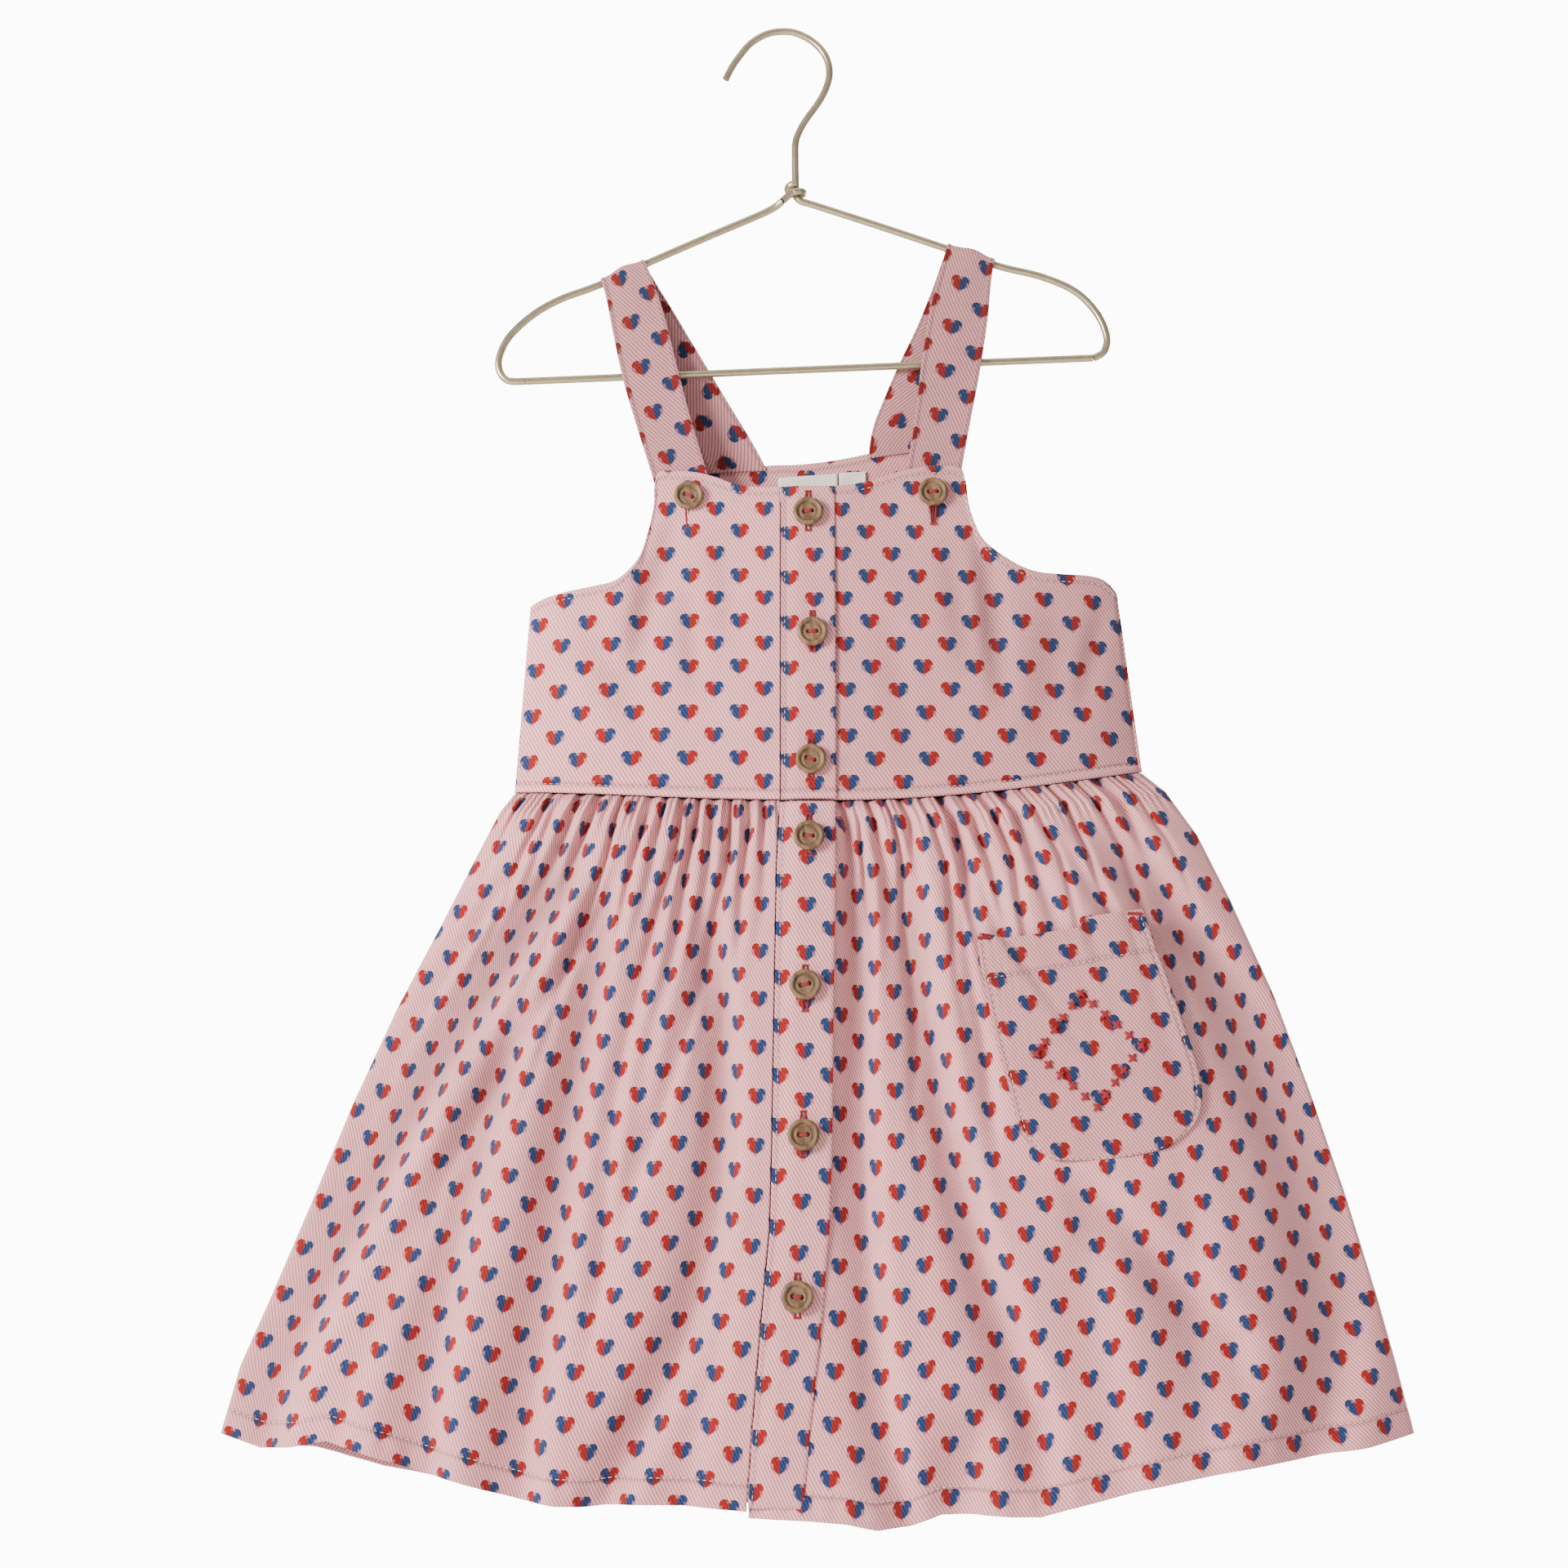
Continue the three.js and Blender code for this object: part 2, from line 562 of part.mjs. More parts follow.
// Labels inside the back neck
function labelWall(left, right, top, height) {
  const rows = [];
  for (const z of [top, top - height / 2, top - height]) {
    const row = [];
    for (let i = 0; i <= 3; i += 1) {
      const x = left + ((right - left) * i) / 3;
      const zHere = z + ((x - left) * 1.2) / 15;
      const y = bodiceY(1, x, zHere) - CLOTH - GAP - 0.3 - LABEL_THICK;
      row.push({ p: new THREE.Vector3(x, y, zHere), t: i });
    }
    rows.push(row);
  }
  return clothWall(rows, -1, LABEL_THICK, false);
}

// Straps: a soft flat section carried up the front run, over the wire and down the back run
function strapRows(front, bend, back) {
  const radius = WIRE_R + GAP + 0.2 + STRAP_THICK / 2;
  const tilt = THREE.MathUtils.degToRad(bend.tilt);
  const over = [0, 45, 90, 135, 180].map((degrees) => {
    const turn = THREE.MathUtils.degToRad(degrees);
    const lift = radius * Math.sin(turn);
    return [
      bend.x - lift * Math.sin(tilt),
      -radius * Math.cos(turn),
      bend.z + lift * Math.cos(tilt),
      bend.tilt,
      bend.width,
    ];
  });
  return [...front, ...over, ...back];
}
function strapSolid(table) {
  const centres = table.map(([x, y, z]) => new THREE.Vector3(x, y, z));
  const rings = table.map(([, , , tilt, width], i) => {
    const before = centres[Math.max(0, i - 1)];
    const after = centres[Math.min(table.length - 1, i + 1)];
    const along = new THREE.Vector3().subVectors(after, before).normalize();
    const angle = THREE.MathUtils.degToRad(tilt);
    const across = new THREE.Vector3(Math.cos(angle), 0, Math.sin(angle));
    const out = new THREE.Vector3().crossVectors(across, along).normalize();
    const half = width / 2;
    const t = STRAP_THICK / 2;
    const section = [
      [-half, 0], [-half + 0.8, t], [-half / 3, t * 0.9], [half / 3, t * 0.9], [half - 0.8, t],
      [half, 0], [half - 0.8, -t], [half / 3, -t * 0.9], [-half / 3, -t * 0.9], [-half + 0.8, -t],
    ];
    return section.map(([a, b]) => centres[i].clone().addScaledVector(across, a).addScaledVector(out, b));
  });
  return ringSolid(rings);
}

// Wire: a round section drawn along a smooth line
function wireSolid(points, steps) {
  const curve = new THREE.CatmullRomCurve3(points, false, 'centripetal');
  const section = new THREE.Shape();
  for (let i = 0; i < WIRE_SIDES; i += 1) {
    const angle = (i * 2 * Math.PI) / WIRE_SIDES;
    const at = [WIRE_R * Math.cos(angle), WIRE_R * Math.sin(angle)];
    if (i === 0) section.moveTo(...at);
    else section.lineTo(...at);
  }
  section.closePath();
  return new THREE.ExtrudeGeometry(section, { steps, extrudePath: curve, bevelEnabled: false });
}
const flatPath = (table) => table.map(([x, z]) => new THREE.Vector3(x, 0, z));
function wrapPath() {
  const points = [new THREE.Vector3(0.4, -3.0, -97.4)];
  const steps = 14;
  for (let i = 0; i <= steps; i += 1) {
    const angle = THREE.MathUtils.degToRad(WRAP_START + (WRAP_TURN * i) / steps);
    points.push(new THREE.Vector3(
      NECK_X + WRAP_R * Math.cos(angle),
      WRAP_R * Math.sin(angle),
      WRAP_Z + (WRAP_RISE * i) / steps,
    ));
  }
  return points;
}

// Buttons: a turned disc with a raised rim and two holes
function asManifold(geometry) {
  const plain = geometry.clone();
  plain.deleteAttribute('normal');
  plain.deleteAttribute('uv');
  const merged = mergeVertices(plain, 1e-4);
  return new wasm.Manifold(new wasm.Mesh({
    numProp: 3,
    vertProperties: new Float32Array(merged.attributes.position.array),
    triVerts: new Uint32Array(merged.index.array),
  }));
}
function fromManifold(solid) {
  const mesh = solid.getMesh();
  const geometry = new THREE.BufferGeometry();
  geometry.setAttribute('position', new THREE.Float32BufferAttribute(mesh.vertProperties, 3));
  geometry.setIndex(Array.from(mesh.triVerts));
  return geometry;
}
function buttonBlank() {
  // radius, height above the back
  const profile = [
    [0, 0], [BUTTON_R - 1.3, 0], [BUTTON_R, 1.2], [BUTTON_R, BUTTON_THICK - 1.0],
    [BUTTON_R - 0.9, BUTTON_THICK], [BUTTON_R - 2.0, BUTTON_THICK - 0.2],
    [BUTTON_R - 2.8, BUTTON_THICK - 1.2], [0, BUTTON_THICK - 1.4],
  ].map(([r, h]) => new THREE.Vector2(r, h));
  const disc = asManifold(new THREE.LatheGeometry(profile, BUTTON_SIDES));
  const drill = (x) => {
    const hole = new THREE.CylinderGeometry(BUTTON_HOLE_R, BUTTON_HOLE_R, 3 * BUTTON_THICK, 6);
    hole.translate(x, BUTTON_THICK / 2, 0);
    return asManifold(hole);
  };
  return fromManifold(disc.subtract(drill(-BUTTON_HOLE_X)).subtract(drill(BUTTON_HOLE_X)));
}
function buttonAt(x, z, place) {
  const geometry = buttonBlank();
  // The lathe's height becomes the way out of the cloth
  geometry.rotateX(Math.PI);
  const spread = BUTTON_R * 0.85;
  let back = 0;
  let top = 0;
  let foot = 0;
  const faceAt = (px, pz) => {
    if (place === 'bodice') return bodiceY(-1, px, pz);
    if (place === 'band') return bodiceY(-1, px, pz) - GAP - CLOTH - 0.15;
    return skirtBandFront(pz);
  };
  top = faceAt(x, z + spread);
  foot = faceAt(x, z - spread);
  back = Math.min(faceAt(x, z), top, foot, faceAt(x - spread, z), faceAt(x + spread, z));
  const lean = Math.atan2(foot - top, 2 * spread);
  geometry.rotateX(lean);
  const shift = Math.min((top + foot) / 2, back);
  geometry.translate(x, shift - GAP - 0.1, z);
  return geometry;
}

// Everything, in one body
const dress = new THREE.Group();
dress.name = 'pinafore_dress';
function add(name, geometry, material) {
  geometry.computeVertexNormals();
  const mesh = new THREE.Mesh(geometry, material);
  mesh.name = name;
  dress.add(mesh);
}

add('bodice_front_left', bodicePanel(BODICE_LEFT_LINES, -1), PINK);
add('bodice_front_right', bodicePanel(BODICE_RIGHT_LINES, -1), PINK);
add('bodice_back', bodicePanel(BODICE_BACK_LINES, 1), PINK);
add('placket_bodice', bodiceBand(), PINK);
add('skirt_front_left', skirtPanel(-1, HEM_FRONT_LEFT, () => -1, (v) => bandS(v), 20), PINK);
add('skirt_front_right', skirtPanel(-1, HEM_FRONT_RIGHT, (v) => bandS(v) + 0.003, () => 1, 26), PINK);
add('skirt_back', skirtPanel(1, HEM_BACK, () => -1, () => 1, 44), PINK);
add('placket_skirt', bandWall(skirtBandSections(), 3, bandFaceY), PINK);
add('pocket', pocketWall(), PINK);
add('strap_left', strapSolid(strapRows(STRAP_LEFT_FRONT, STRAP_LEFT_BEND, STRAP_LEFT_BACK)), PINK);
add('strap_right', strapSolid(strapRows(STRAP_RIGHT_FRONT, STRAP_RIGHT_BEND, STRAP_RIGHT_BACK)), PINK);
add('label_main', labelWall(-2, 28.5, -247, 13), CREAM);
add('label_small', labelWall(29.2, 43, -244.5, 8), CREAM);
add('hanger_hook', wireSolid(flatPath(HOOK_PATH), 34), METAL);
add('hanger_arm_left', wireSolid([...flatPath(ARM_LEFT_PATH), ARM_LEFT_END], 26), METAL);
add('hanger_wrap', wireSolid(wrapPath(), 22), METAL);
add('hanger_arm_right', wireSolid(flatPath(ARM_RIGHT_PATH), 22), METAL);
add('hanger_bar', wireSolid(flatPath(BAR_PATH), 2), METAL);
for (const [name, x, z, place] of BUTTONS) add(name, buttonAt(x, z, place), WOOD);

export default dress;
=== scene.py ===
import math

import bmesh
import bpy
import numpy as np
from mathutils import Matrix, Vector


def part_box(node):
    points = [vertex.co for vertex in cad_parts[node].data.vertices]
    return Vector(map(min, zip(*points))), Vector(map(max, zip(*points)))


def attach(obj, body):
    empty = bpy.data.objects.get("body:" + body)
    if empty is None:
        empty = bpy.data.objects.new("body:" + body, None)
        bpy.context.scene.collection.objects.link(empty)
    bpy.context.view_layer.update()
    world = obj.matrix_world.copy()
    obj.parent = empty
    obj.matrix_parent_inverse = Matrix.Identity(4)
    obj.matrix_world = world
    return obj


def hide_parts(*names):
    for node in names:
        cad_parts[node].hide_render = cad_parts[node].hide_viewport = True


# Child's pinafore dress on a wire hanger: looks. Sizes in the tables are millimetres,
# left and right are the viewer's, and the dress faces -Y.
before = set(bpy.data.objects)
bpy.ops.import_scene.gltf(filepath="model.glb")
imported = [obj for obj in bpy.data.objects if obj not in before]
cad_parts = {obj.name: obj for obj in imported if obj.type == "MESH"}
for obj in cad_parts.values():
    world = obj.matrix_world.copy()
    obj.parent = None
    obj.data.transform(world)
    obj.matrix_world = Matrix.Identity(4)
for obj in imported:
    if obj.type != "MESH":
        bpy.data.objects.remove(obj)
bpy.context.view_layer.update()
metre = 0.001

# Camera and light
camera = {
    "place": (0.0009, -1.1227, -0.6586),
    "tiltDegrees": 102.5,
    "lens": 53.25,
}
studio = {
    "floorHeight": -1.05,
    "floorSide": 4.4,
    "floorGlow": 0.35,
    "keyPower": 68.5,
    "fillPower": 4.0,
    "topPower": 6.0,
    "backPower": 34.0,
    "skyLight": 0.47,
    "skySeen": 12.0,
}


def addCamera():
    data = bpy.data.cameras.new("camera")
    data.lens = camera["lens"]
    data.sensor_width = 36
    item = bpy.data.objects.new("camera", data)
    item.location = camera["place"]
    item.rotation_euler = (math.radians(camera["tiltDegrees"]), 0, 0)
    bpy.context.scene.collection.objects.link(item)
    bpy.context.scene.camera = item


def addLight(name, place, target, size, power, tint=(1, 1, 1)):
    data = bpy.data.lights.new(name, "AREA")
    data.shape = "RECTANGLE"
    data.size = size[0]
    data.size_y = size[1]
    data.energy = power
    data.color = tint
    item = bpy.data.objects.new(name, data)
    item.location = place
    way = Vector(target) - Vector(place)
    item.rotation_euler = way.to_track_quat("-Z", "Y").to_euler()
    bpy.context.scene.collection.objects.link(item)


addCamera()
addLight("keyLight", (-1.25, -1.0, -0.15), (0, 0, -0.45), (0.6, 0.6), studio["keyPower"], (1, 0.98, 0.96))
addLight("fillLight", (1.5, -1.5, -0.5), (0, 0, -0.45), (1.2, 1.6), studio["fillPower"], (0.97, 0.98, 1))
addLight("topLight", (0.1, -0.3, 0.9), (0, 0, -0.4), (1.2, 0.8), studio["topPower"])
print("camera and lights placed")


# Small maths
def ease(t):
    k = np.clip(t, 0, 1)
    return k * k * (3 - 2 * k)


def lookUp(table, at, column):
    rows = sorted(table)
    return np.interp(at, [row[0] for row in rows], [row[column] for row in rows])


def smoothRows(table, at):
    """Smooth curve through the rows of a table; at runs from 0 at the first row to 1 at the last."""
    rows = np.array(table, float)
    last = len(rows) - 1
    place = np.clip(np.asarray(at, float), 0, 1) * last
    k = np.clip(place.astype(int), 0, last - 1)
    t = (place - k)[..., None]
    before = rows[np.clip(k - 1, 0, last)]
    here = rows[k]
    after = rows[k + 1]
    beyond = rows[np.clip(k + 2, 0, last)]
    return 0.5 * (
        2 * here
        + (after - before) * t
        + (2 * before - 5 * here + 4 * after - beyond) * t ** 2
        + (3 * here - before - 3 * after + beyond) * t ** 3
    )


def softNoise(x, y, seed):
    """Gentle uneven swell made of a few slanted waves, about -1 to 1."""
    turn = seed * 1.7
    total = np.zeros_like(x)
    for n in range(1, 6):
        angle = turn + n * 2.399
        wave = 0.7 + 0.45 * n
        total = total + np.sin(wave * (x * math.cos(angle) + y * math.sin(angle)) + n * turn) / n ** 0.6
    return total / 2.4


# Sizes of the dress
bodice = {
    "side": 0.15,
    "cloth": 1.1,
    "edgePower": 6,
    "chestMid": 21, "chestHalf": 148, "chestZ": -318,
    "waistMid": 23, "waistHalf": 155.5, "waistZ": -421,
    "riseLeft": 6.5, "riseRight": 17,
    "depths": [
        # z, front depth, back depth
        [-225, 8.0, 7.2], [-250, 10.0, 8.6], [-285, 11.4, 10.0], [-318, 12.2, 10.8],
        [-370, 12.6, 11.2], [-425, 13.0, 11.5],
    ],
    "leftLines": [
        # top x, top z, waist x
        [-127, -318.5, -132.5], [-119, -315, -124], [-110, -313, -114], [-101, -311.5, -105],
        [-92, -310, -97], [-84, -308, -89], [-77.5, -303, -82], [-72, -296, -76],
        [-69, -288, -70], [-66, -276, -64], [-64, -264, -58], [-63, -251, -52],
        [-52, -250, -44], [-42, -251, -36], [-33, -253.5, -28], [-24, -257, -20],
        [-13, -258.5, -11], [-1, -258.5, -1],
    ],
    "rightLines": [
        # top x, top z, waist x
        [-0.5, -258.5, -0.5], [13, -258.5, 13], [26, -258, 27], [36, -257, 37], [48, -254, 48],
        [60, -250, 59], [72, -247.5, 69], [82, -247, 78], [91, -249, 87], [93, -263, 94],
        [96, -275, 100], [100, -285, 106], [105.5, -291, 112], [113, -296.5, 119],
        [121, -301, 127], [130, -303.5, 135], [142, -304, 144], [154, -304, 156],
        [162, -305.5, 166], [169, -311.5, 178.5],
    ],
    "backLines": [
        # top x, top z, waist x
        [-127, -318.5, -132.5], [-116, -318.5, -122], [-104, -317, -110], [-93, -313, -99],
        [-83, -306, -88], [-74, -296, -78], [-66, -283, -68], [-58, -268, -58],
        [-50, -254, -49], [-43, -242, -40], [-34, -241, -30], [-20, -240.5, -16],
        [-6, -239.5, -2], [9, -239, 12], [26, -237, 27], [41, -234, 41], [55, -231, 55],
        [67, -230, 68], [75, -230, 79], [80, -242, 88], [86, -257, 97], [93, -272, 106],
        [101, -286, 115], [112, -297, 125], [125, -304, 136], [140, -307, 149],
        [156, -309, 165], [169, -311.5, 178.5],
    ],
    "ridgeHeight": 3.8,
    "ridgeOut": 1.5,
    "topStitch": 3.8,
    "creases": [
        # x, z at one end, x, z at the other, depth, half width
        [100, -284, 108, -368, 2.2, 6.5], [84, -292, 92, -352, 1.1, 7], [-67, -300, -73, -352, 1.8, 6.5],
        [-47, -318, -44, -362, 0.9, 6], [-103, -322, -64, -398, 0.9, 9], [-54, -274, -66, -322, 1.1, 6],
        [136, -318, 128, -392, 1.0, 10], [52, -330, 60, -396, 0.7, 8], [160, -322, 148, -372, 1.1, 6],
        [-30, -290, -26, -340, 0.6, 7],
    ],
}
skirt = {
    "edgePower": 6,
    "sections": [
        # v, left x, right x, front depth, back depth
        [0.00, -132.5, 178.5, 13.0, 11.5],
        [0.03, -139.5, 190, 15.0, 13.0],
        [0.10, -150, 205, 17.0, 15.0],
        [0.20, -164.5, 219.5, 19.0, 17.0],
        [0.35, -187, 239, 21.5, 19.0],
        [0.50, -206.5, 254.5, 24.0, 21.5],
        [0.65, -224, 268.5, 26.5, 24.0],
        [0.80, -242, 281, 29.0, 26.0],
        [0.90, -254.5, 288.5, 31.0, 27.5],
        [1.00, -262, 295, 32.0, 29.0],
    ],
    "hemLeft": [
        # s, z
        [-1.00, -720], [-0.93, -726.5], [-0.87, -725.5], [-0.81, -722.5], [-0.755, -727],
        [-0.70, -731.5], [-0.65, -736], [-0.59, -740], [-0.54, -744], [-0.485, -748], [-0.43, -750.5],
        [-0.38, -751], [-0.325, -749.5], [-0.22, -750], [-0.115, -752.5], [0.00, -755],
    ],
    "hemRight": [
        # s, z
        [-0.14, -755], [-0.02, -756.5], [0.045, -758], [0.095, -761], [0.15, -759.5], [0.20, -754.5],
        [0.255, -754], [0.31, -755], [0.36, -755], [0.41, -751.5], [0.465, -748], [0.52, -744],
        [0.575, -741], [0.68, -735.5], [0.79, -731], [0.85, -728], [0.91, -726], [0.97, -722], [1.00, -720],
    ],
    "hemBack": [
        # s, z
        [-1.00, -720], [-0.95, -725], [-0.90, -725.5], [-0.85, -726.5], [-0.795, -731.5],
        [-0.74, -736.5], [-0.68, -739.5], [-0.57, -745.5], [-0.40, -751], [0.00, -755], [0.35, -753],
        [0.50, -747], [0.67, -737.5], [0.83, -729.5], [1.00, -720],
    ],
    "frontGathers": [
        # s, depth, reach
        [-0.955, 3.0, 0.10], [-0.866, 5.5, 0.14], [-0.830, 4.5, 0.10], [-0.782, 6.5, 0.16],
        [-0.720, 7.0, 0.22], [-0.645, 7.5, 0.26], [-0.558, 7.0, 0.20], [-0.513, 5.0, 0.12],
        [-0.459, 7.0, 0.20], [-0.410, 7.0, 0.24], [-0.360, 6.0, 0.14], [-0.310, 6.5, 0.17],
        [-0.253, 6.5, 0.15], [-0.205, 4.0, 0.10],
        [0.036, 6.0, 0.20], [0.075, 7.0, 0.26], [0.122, 5.0, 0.13], [0.173, 7.0, 0.24],
        [0.221, 5.0, 0.12], [0.288, 6.0, 0.17], [0.347, 7.0, 0.20], [0.412, 6.0, 0.17],
        [0.471, 6.5, 0.20], [0.538, 5.5, 0.13], [0.597, 6.0, 0.14], [0.687, 7.0, 0.18],
        [0.779, 6.0, 0.17], [0.846, 5.0, 0.12], [0.905, 4.0, 0.10],
    ],
    "backGathers": [
        [-0.93 + i * 1.86 / 24 + 0.012 * math.sin(i * 2.4), 5.6 + 1.4 * math.sin(i * 1.7),
         0.16 + 0.05 * math.sin(i * 2.9)]
        for i in range(25)
    ],
    "frontFolds": [
        # v top, s top, v middle, s middle, v end, s end, depth, half width in s
        [0.04, -0.70, 0.50, -0.87, 1.02, -0.94, 11.0, 0.050],
        [0.08, -0.63, 0.50, -0.54, 1.02, -0.49, 7.0, 0.040],
        [0.30, -0.71, 0.65, -0.70, 1.02, -0.64, 7.0, 0.040],
        [0.12, -0.36, 0.46, -0.23, 1.02, -0.36, 6.0, 0.035],
        [0.02, 0.07, 0.50, 0.06, 1.02, 0.15, 4.5, 0.030],
        [0.02, 0.175, 0.40, 0.22, 0.88, 0.37, 6.0, 0.035],
        [0.00, 0.70, 0.45, 0.94, 1.02, 0.81, 7.5, 0.058],
        [0.50, 0.42, 0.64, 0.56, 0.82, 0.71, 5.0, 0.045],
        [0.80, 0.30, 0.90, 0.26, 1.02, 0.22, 6.0, 0.045],
    ],
    "backFolds": [
        # v top, s top, v middle, s middle, v end, s end, depth, half width in s
        [0.05, -0.62, 0.50, -0.78, 1.02, -0.88, 9.0, 0.050],
        [0.10, -0.45, 0.55, -0.52, 1.02, -0.56, 7.0, 0.040],
        [0.06, -0.20, 0.50, -0.17, 1.02, -0.24, 7.0, 0.040],
        [0.04, 0.08, 0.55, 0.10, 1.02, 0.06, 6.0, 0.040],
        [0.10, 0.30, 0.50, 0.36, 1.02, 0.34, 7.0, 0.040],
        [0.05, 0.55, 0.50, 0.66, 1.02, 0.62, 7.0, 0.045],
        [0.03, 0.70, 0.45, 0.88, 1.02, 0.85, 10.0, 0.050],
    ],
    "fineFolds": [
        # v top, s top, v middle, s middle, v end, s end, depth, half width in s
        [0.05, -0.85, 0.30, -0.93, 0.62, -0.97, 3.0, 0.022],
        [0.04, -0.56, 0.30, -0.66, 0.60, -0.76, 2.6, 0.022],
        [0.04, -0.46, 0.35, -0.47, 0.70, -0.42, 2.2, 0.022],
        [0.04, -0.31, 0.30, -0.33, 0.60, -0.40, 2.0, 0.020],
        [0.03, 0.29, 0.20, 0.31, 0.42, 0.33, 2.2, 0.018],
        [0.03, 0.35, 0.14, 0.38, 0.30, 0.42, 2.0, 0.018],
        [0.03, 0.60, 0.15, 0.66, 0.30, 0.74, 2.4, 0.022],
        [0.55, 0.50, 0.75, 0.48, 1.02, 0.50, 2.6, 0.050],
        [0.55, 0.72, 0.75, 0.66, 1.02, 0.64, 2.6, 0.045],
        [0.60, -0.16, 0.80, -0.20, 1.02, -0.22, 2.2, 0.035],
        [0.55, -0.80, 0.80, -0.79, 1.02, -0.80, 3.0, 0.040],
    ],
    "hemStitch": 11.0,
    "length": 336,
}
band = {
    "left": 0.5,
    "foldX": 26.5,
    "sections": [
        # v, joined x, free x
        [0.00, -1.5, 26.0], [0.10, -3.0, 26.0], [0.30, -4.0, 24.5], [0.50, -5.0, 23.5],
        [0.62, -6.0, 22.0], [0.75, -10.0, 18.0], [0.90, -14.0, 12.5], [1.00, -16.0, 9.5],
    ],
}
pocket = {
    "sections": [
        # left x, left z, right x, right z, sag of the middle
        [93, -488, 174, -475.5, -4.0], [95, -505, 178, -490, -1.5], [98, -521, 184, -508, 0],
        [101.5, -540, 191, -531, 0], [106, -558, 197, -552, 0], [109, -571, 198.3, -567, 0],
        [112, -582, 196, -576, -2.0], [117.5, -589.5, 191, -582, -4.0], [127, -595.5, 181, -589.5, -2.5],
    ],
    "hemDown": 18,
    "wide": 92,
}


# Surfaces of the dress, all outer faces
def waistZ(x):
    s = (x - bodice["waistMid"]) / bodice["waistHalf"]
    return bodice["waistZ"] + np.where(s < 0, bodice["riseLeft"], bodice["riseRight"]) * s * s


def seamClosing(away):
    # the side edges curl in by this much, so that front and back meet
    return 1.15 * np.exp(-(away / 0.9) ** 2)


def bodiceY(side, x, z):
    down = np.clip((bodice["chestZ"] - z) / (bodice["chestZ"] - bodice["waistZ"]), 0, 1)
    mid = bodice["chestMid"] + (bodice["waistMid"] - bodice["chestMid"]) * down
    half = bodice["chestHalf"] + (bodice["waistHalf"] - bodice["chestHalf"]) * down
    across = np.clip(np.abs(x - mid) / half, 0, 1)
    depth = lookUp(bodice["depths"], z, 1 if side < 0 else 2)
    out = bodice["side"] + bodice["cloth"] + depth * (1 - across ** bodice["edgePower"])
    return side * (out - seamClosing((1 - across) * half))


def creaseDepth(rows, x, z):
    total = np.zeros_like(x)
    for x0, z0, x1, z1, depth, width in rows:
        run = np.array([x1 - x0, z1 - z0], float)
        t = ((x - x0) * run[0] + (z - z0) * run[1]) / (run @ run)
        k = np.clip(t, 0, 1)
        away = np.hypot(x - x0 - k * run[0], z - z0 - k * run[1]) / width
        total = total + depth * np.exp(-away ** 2) * (0.35 + 0.65 * np.sin(math.pi * k))
    return total


def foldPath(row, v):
    v0, s0, v1, s1, v2, s2 = row[:6]
    a = (v - v1) * (v - v2) / ((v0 - v1) * (v0 - v2))
    b = (v - v0) * (v - v2) / ((v1 - v0) * (v1 - v2))
    c = (v - v0) * (v - v1) / ((v2 - v0) * (v2 - v1))
    return s0 * a + s1 * b + s2 * c


def inwardFolds(side, s, v, fine=True, narrow=1.0):
    total = np.zeros_like(s)
    rise = 0.4 + 0.6 * ease(v / 0.05)
    width = narrow * ((0.011 if fine else 0.013) + 0.03 * v)
    for at, depth, reach in skirt["frontGathers"] if side < 0 else skirt["backGathers"]:
        wander = 0.006 * np.sin(v * 23 + at * 40) * ease(v / 0.1) if fine else 0
        uneven = math.sin(at * 61) if fine else 0
        deep = depth * (1.5 + 0.55 * uneven if fine else 1)
        wide = width * (1 + 0.35 * uneven)
        total = total + deep * rise * np.exp(-v / reach) * np.exp(-((s - at - wander) / wide) ** 2)
    folds = skirt["frontFolds"] if side < 0 else skirt["backFolds"]
    if fine:
        folds = folds + skirt["fineFolds"]
    for row in folds:
        fade = ease((v - row[0]) / 0.16) * ease((row[4] + 0.16 - v) / 0.16)
        path = foldPath(row, np.clip(v, row[0], row[4]))
        deep = row[6] * (1.8 if fine else 1)
        wide = row[7] * narrow * (np.where(s < path, 1.6, 0.85) if fine else 1)
        total = total + deep * fade * np.exp(-((s - path) / wide) ** 2)
    return total


def skirtX(s, v):
    left = lookUp(skirt["sections"], v, 1)
    right = lookUp(skirt["sections"], v, 2)
    return left + (right - left) * (s + 1) / 2


def skirtS(x, v):
    left = lookUp(skirt["sections"], v, 1)
    right = lookUp(skirt["sections"], v, 2)
    return 2 * (x - left) / (right - left) - 1


def skirtZ(hem, s, v):
    top = waistZ(bodice["waistMid"] + bodice["waistHalf"] * s) - 0.3
    return top + (lookUp(hem, s, 1) - top) * v


def skirtV(hem, x, z):
    v = np.full_like(x, 0.5)
    for _ in range(12):
        s = skirtS(x, v)
        top = waistZ(bodice["waistMid"] + bodice["waistHalf"] * s) - 0.3
        v = np.clip((top - z) / (top - lookUp(hem, s, 1)), 0, 1)
    return v


def skirtY(side, s, v, fine=True):
    room = lookUp(skirt["sections"], v, 3 if side < 0 else 4) * (1 - np.abs(np.clip(s, -1, 1)) ** skirt["edgePower"])
    room = np.maximum(room, 0.01)
    inward = inwardFolds(side, s, v, fine)
    out = bodice["side"] + bodice["cloth"] + room - 0.92 * room * np.tanh(inward / room)
    half = (lookUp(skirt["sections"], v, 2) - lookUp(skirt["sections"], v, 1)) / 2
    return side * (out - seamClosing((1 - np.abs(s)) * half))


def frontOf(x, z, reach):
    y = np.zeros_like(x)
    for dx in (-reach, -reach / 2, 0, reach / 2, reach):
        for dz in (-reach, 0, reach):
            v = skirtV(skirt["hemRight"], x + dx, z + dz)
            y = np.minimum(y, skirtY(-1, skirtS(x + dx, v), v, False))
    return y


